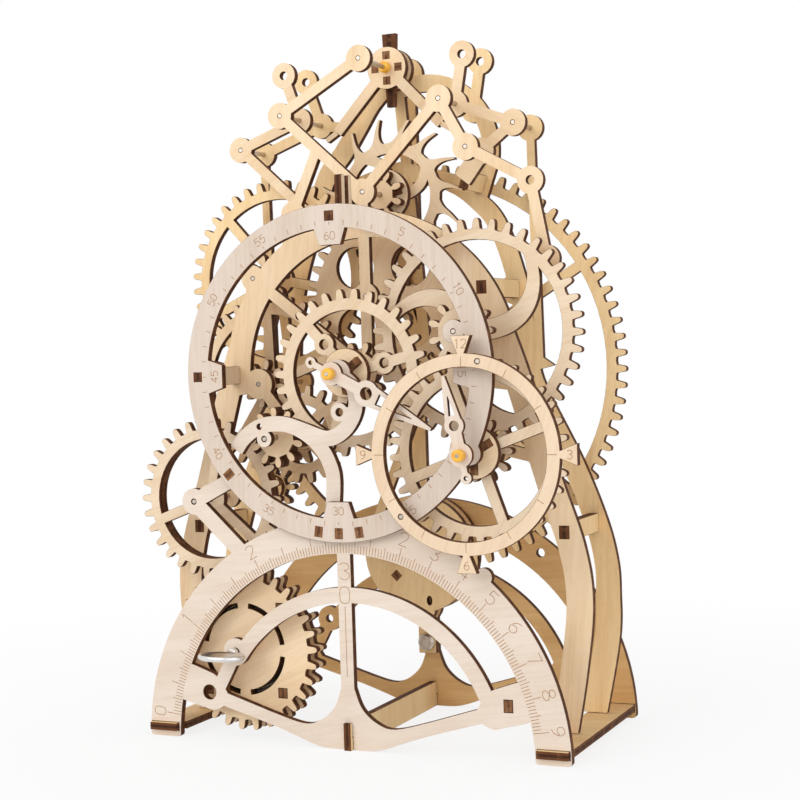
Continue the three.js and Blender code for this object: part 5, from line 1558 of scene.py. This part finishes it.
def anchorPieces(s):
    front, back = depths("anchor_rotor")
    face = disc(anchorAxis, s["disc"])
    arms = []
    for way in (-1, 1):
        pallet = (anchorAxis[0] + way * s["palletX"], anchorAxis[1] - s["palletDrop"])
        toe = (pallet[0] + way * s["toeX"], pallet[1] - s["toeDrop"])
        arms += [bar(anchorAxis, pallet, s["pallet"]), bar(pallet, toe, s["pallet"] / 2)]
    tabs = [polar(anchorAxis, s["tabR"], turn) for turn in turnsOf(4)]
    cuts = [disc(anchorAxis, boreSizes["arbor"])]
    cuts += [block(p, s["tab"] + s["room"], s["tab"] + s["room"]) for p in tabs]
    sheet("anchorArms", [face] + arms, cuts, front, front + boardThick, "pendulum", ["anchor_rotor"],
          "warm", 50)
    sheet("anchorRearDisc", [face], cuts, back - boardThick, back, "pendulum", [], "warm", 10)
    for n, p in enumerate(tabs):
        dowel(f"anchorTab{n + 1}", p, s["tab"], s["tab"], 0 if n % 2 else 90, front, back, "pendulum")


def rotorKey(s):
    low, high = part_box("rotor_key")
    top, bottom = high.z / mm, low.z / mm
    x, wide, thin = anchorAxis[0], s["keyTop"], s["keyBottom"]
    outline = [(x - thin, bottom), (x + thin, bottom), (x + wide, top), (x - wide, top)]
    cuts = [disc(anchorAxis, boreSizes["arbor"])]
    mesh = sheetMesh("rotorKey", [outline], cuts, low.y / mm, high.y / mm, edgeFinish, edgeFinish)
    plyAcross(mesh, anchorAxis, 2 * wide)
    place("rotorKey", mesh, "pendulum", ["rotor_key"], "rear_plywood")
    roundPin("anchorArbor", anchorAxis, pinRadius, *depths("anchor_arbor"), "pendulum", ["anchor_arbor"])


def pendulumPieces(s):
    x = anchorAxis[0]
    lobe, bob = (x, s["lobeZ"]), (x, s["bobZ"])
    rod = [disc(anchorAxis, s["rod"]), bar(anchorAxis, lobe, s["rod"])]
    cuts = [disc(anchorAxis, boreSizes["arbor"])]
    sheet("pendulumRod", rod, cuts, *depths("pendulum_rod"), "pendulum", ["pendulum_rod"], "tan", 90)
    adds = [disc(bob, s["bob"]), disc(lobe, s["lobe"]), bar(lobe, bob, 2 * s["lobe"])]
    peg, turn = s["diamond"] - s["room"], s["diamondTurn"]
    ends = (depths("bob_front")[0] + s["room"], depths("bob_rear")[1] - s["room"])
    holes = []
    for label, way in (("Left", -1), ("Right", 1)):
        spot = (x + way * s["diamondX"], s["diamondZ"])
        holes.append(block(spot, s["diamond"], s["diamond"], turn))
        dowel(f"bobPeg{label}", spot, peg, peg, turn, *ends, "pendulum")
    px, pz, wide, high = s["peep"]
    peep = [(px + wide * (u - px), pz + high * (v - pz)) for u, v in disc((px, pz), 1)]
    sheet("bobFront", adds, holes + [peep], *depths("bob_front"), "pendulum", ["bob_front"], "tan", 82)
    tail = bar(lobe, (x, s["tailEnd"]), s["tail"])
    sheet("bobRear", adds + [tail], holes, *depths("bob_rear"), "pendulum", ["bob_rear"], "tan", 98)
    front, back = depths("bob_weight")
    weight = (s["weight"], front + s["weightIn"], back)
    roundPin("bobWeight", (x, s["weightZ"]), *weight, "pendulum", ["bob_weight"], ease=s["weightEase"])


anchorPieces(rotorSizes)
rotorKey(rotorSizes)
pendulumPieces(rotorSizes)
print("anchor and pendulum made")

# floor and light
stageSizes = {
    "floor": 6.0, "paper": (0.86, 0.86, 0.86, 1), "rough": 0.9, "glow": (0.82, 1.0), "glowFrom": 0.1,
    "glowTo": 0.42, "sky": 0.74, "aim": (0, 0, 0.14),
    "lamps": {"keyLight": ((-0.7, -1.4, 1.0), 1.2, 12.2), "fillLight": ((1.25, -1.2, 0.4), 1.6, 7.6)},
}


def whiteWhereSeen(tree, lit, seen, share, end):
    # the camera, mirrors and glass see plain white, and the rest is lit as usual
    path = tree.nodes.new("ShaderNodeLightPath").outputs
    factor = path["Is Camera Ray"]
    for way, value in (("MAXIMUM", path["Is Glossy Ray"]), ("MAXIMUM", path["Is Transmission Ray"]),
                       ("MULTIPLY", share)):
        step = tree.nodes.new("ShaderNodeMath")
        step.operation = way
        feed(tree, step.inputs[0], factor)
        feed(tree, step.inputs[1], value)
        factor = step.outputs[0]
    mix = tree.nodes.new("ShaderNodeMixShader")
    for socket, value in zip(mix.inputs, (factor, lit.outputs[0], seen.outputs[0])):
        feed(tree, socket, value)
    feed(tree, end.inputs["Surface"], mix.outputs[0])


def makeWorld(s):
    world = bpy.data.worlds.new("studio")
    scene.world = world
    world.use_nodes = True
    tree = world.node_tree
    lit, seen = tree.nodes["Background"], tree.nodes.new("ShaderNodeBackground")
    for node, strength in ((lit, s["sky"]), (seen, 1.0)):
        node.inputs["Color"].default_value = white
        node.inputs["Strength"].default_value = strength
    whiteWhereSeen(tree, lit, seen, 1.0, tree.nodes["World Output"])


def makeFloor(s):
    half = s["floor"] / 2
    f = Finish("white_paper")
    f.set(Base_Color=s["paper"], Roughness=s["rough"])
    glow = f.add("ShaderNodeEmission", Strength=1.0)
    away = f.add("ShaderNodeVectorMath", Vector=f.spot())
    away.operation = "LENGTH"
    fade = f.spread(away.outputs["Value"], *s["glow"], From_Min=s["glowFrom"], From_Max=s["glowTo"])
    whiteWhereSeen(f.tree, f.shader, glow, fade, f.tree.nodes["Material Output"])
    mesh = bpy.data.meshes.new("studioFloor")
    corners = [(x, y, 0) for x, y in oblong((-half, -half), (half, half))]
    mesh.from_pydata(corners, [], [(0, 1, 2, 3)])
    mesh.materials.append(f.material)
    floor = bpy.data.objects.new("studioFloor", mesh)
    scene.collection.objects.link(floor)


def makeLamps(s):
    for name, (at, size, power) in s["lamps"].items():
        lamp = bpy.data.lights.new(name, "AREA")
        lamp.size = size
        lamp.energy = power
        lamp.color = (1, 1, 1)
        holder = bpy.data.objects.new(name, lamp)
        scene.collection.objects.link(holder)
        holder.location = at
        holder.rotation_euler = (Vector(s["aim"]) - Vector(at)).to_track_quat("-Z", "Y").to_euler()


makeWorld(stageSizes)
makeFloor(stageSizes)
makeLamps(stageSizes)
print("floor and light set")
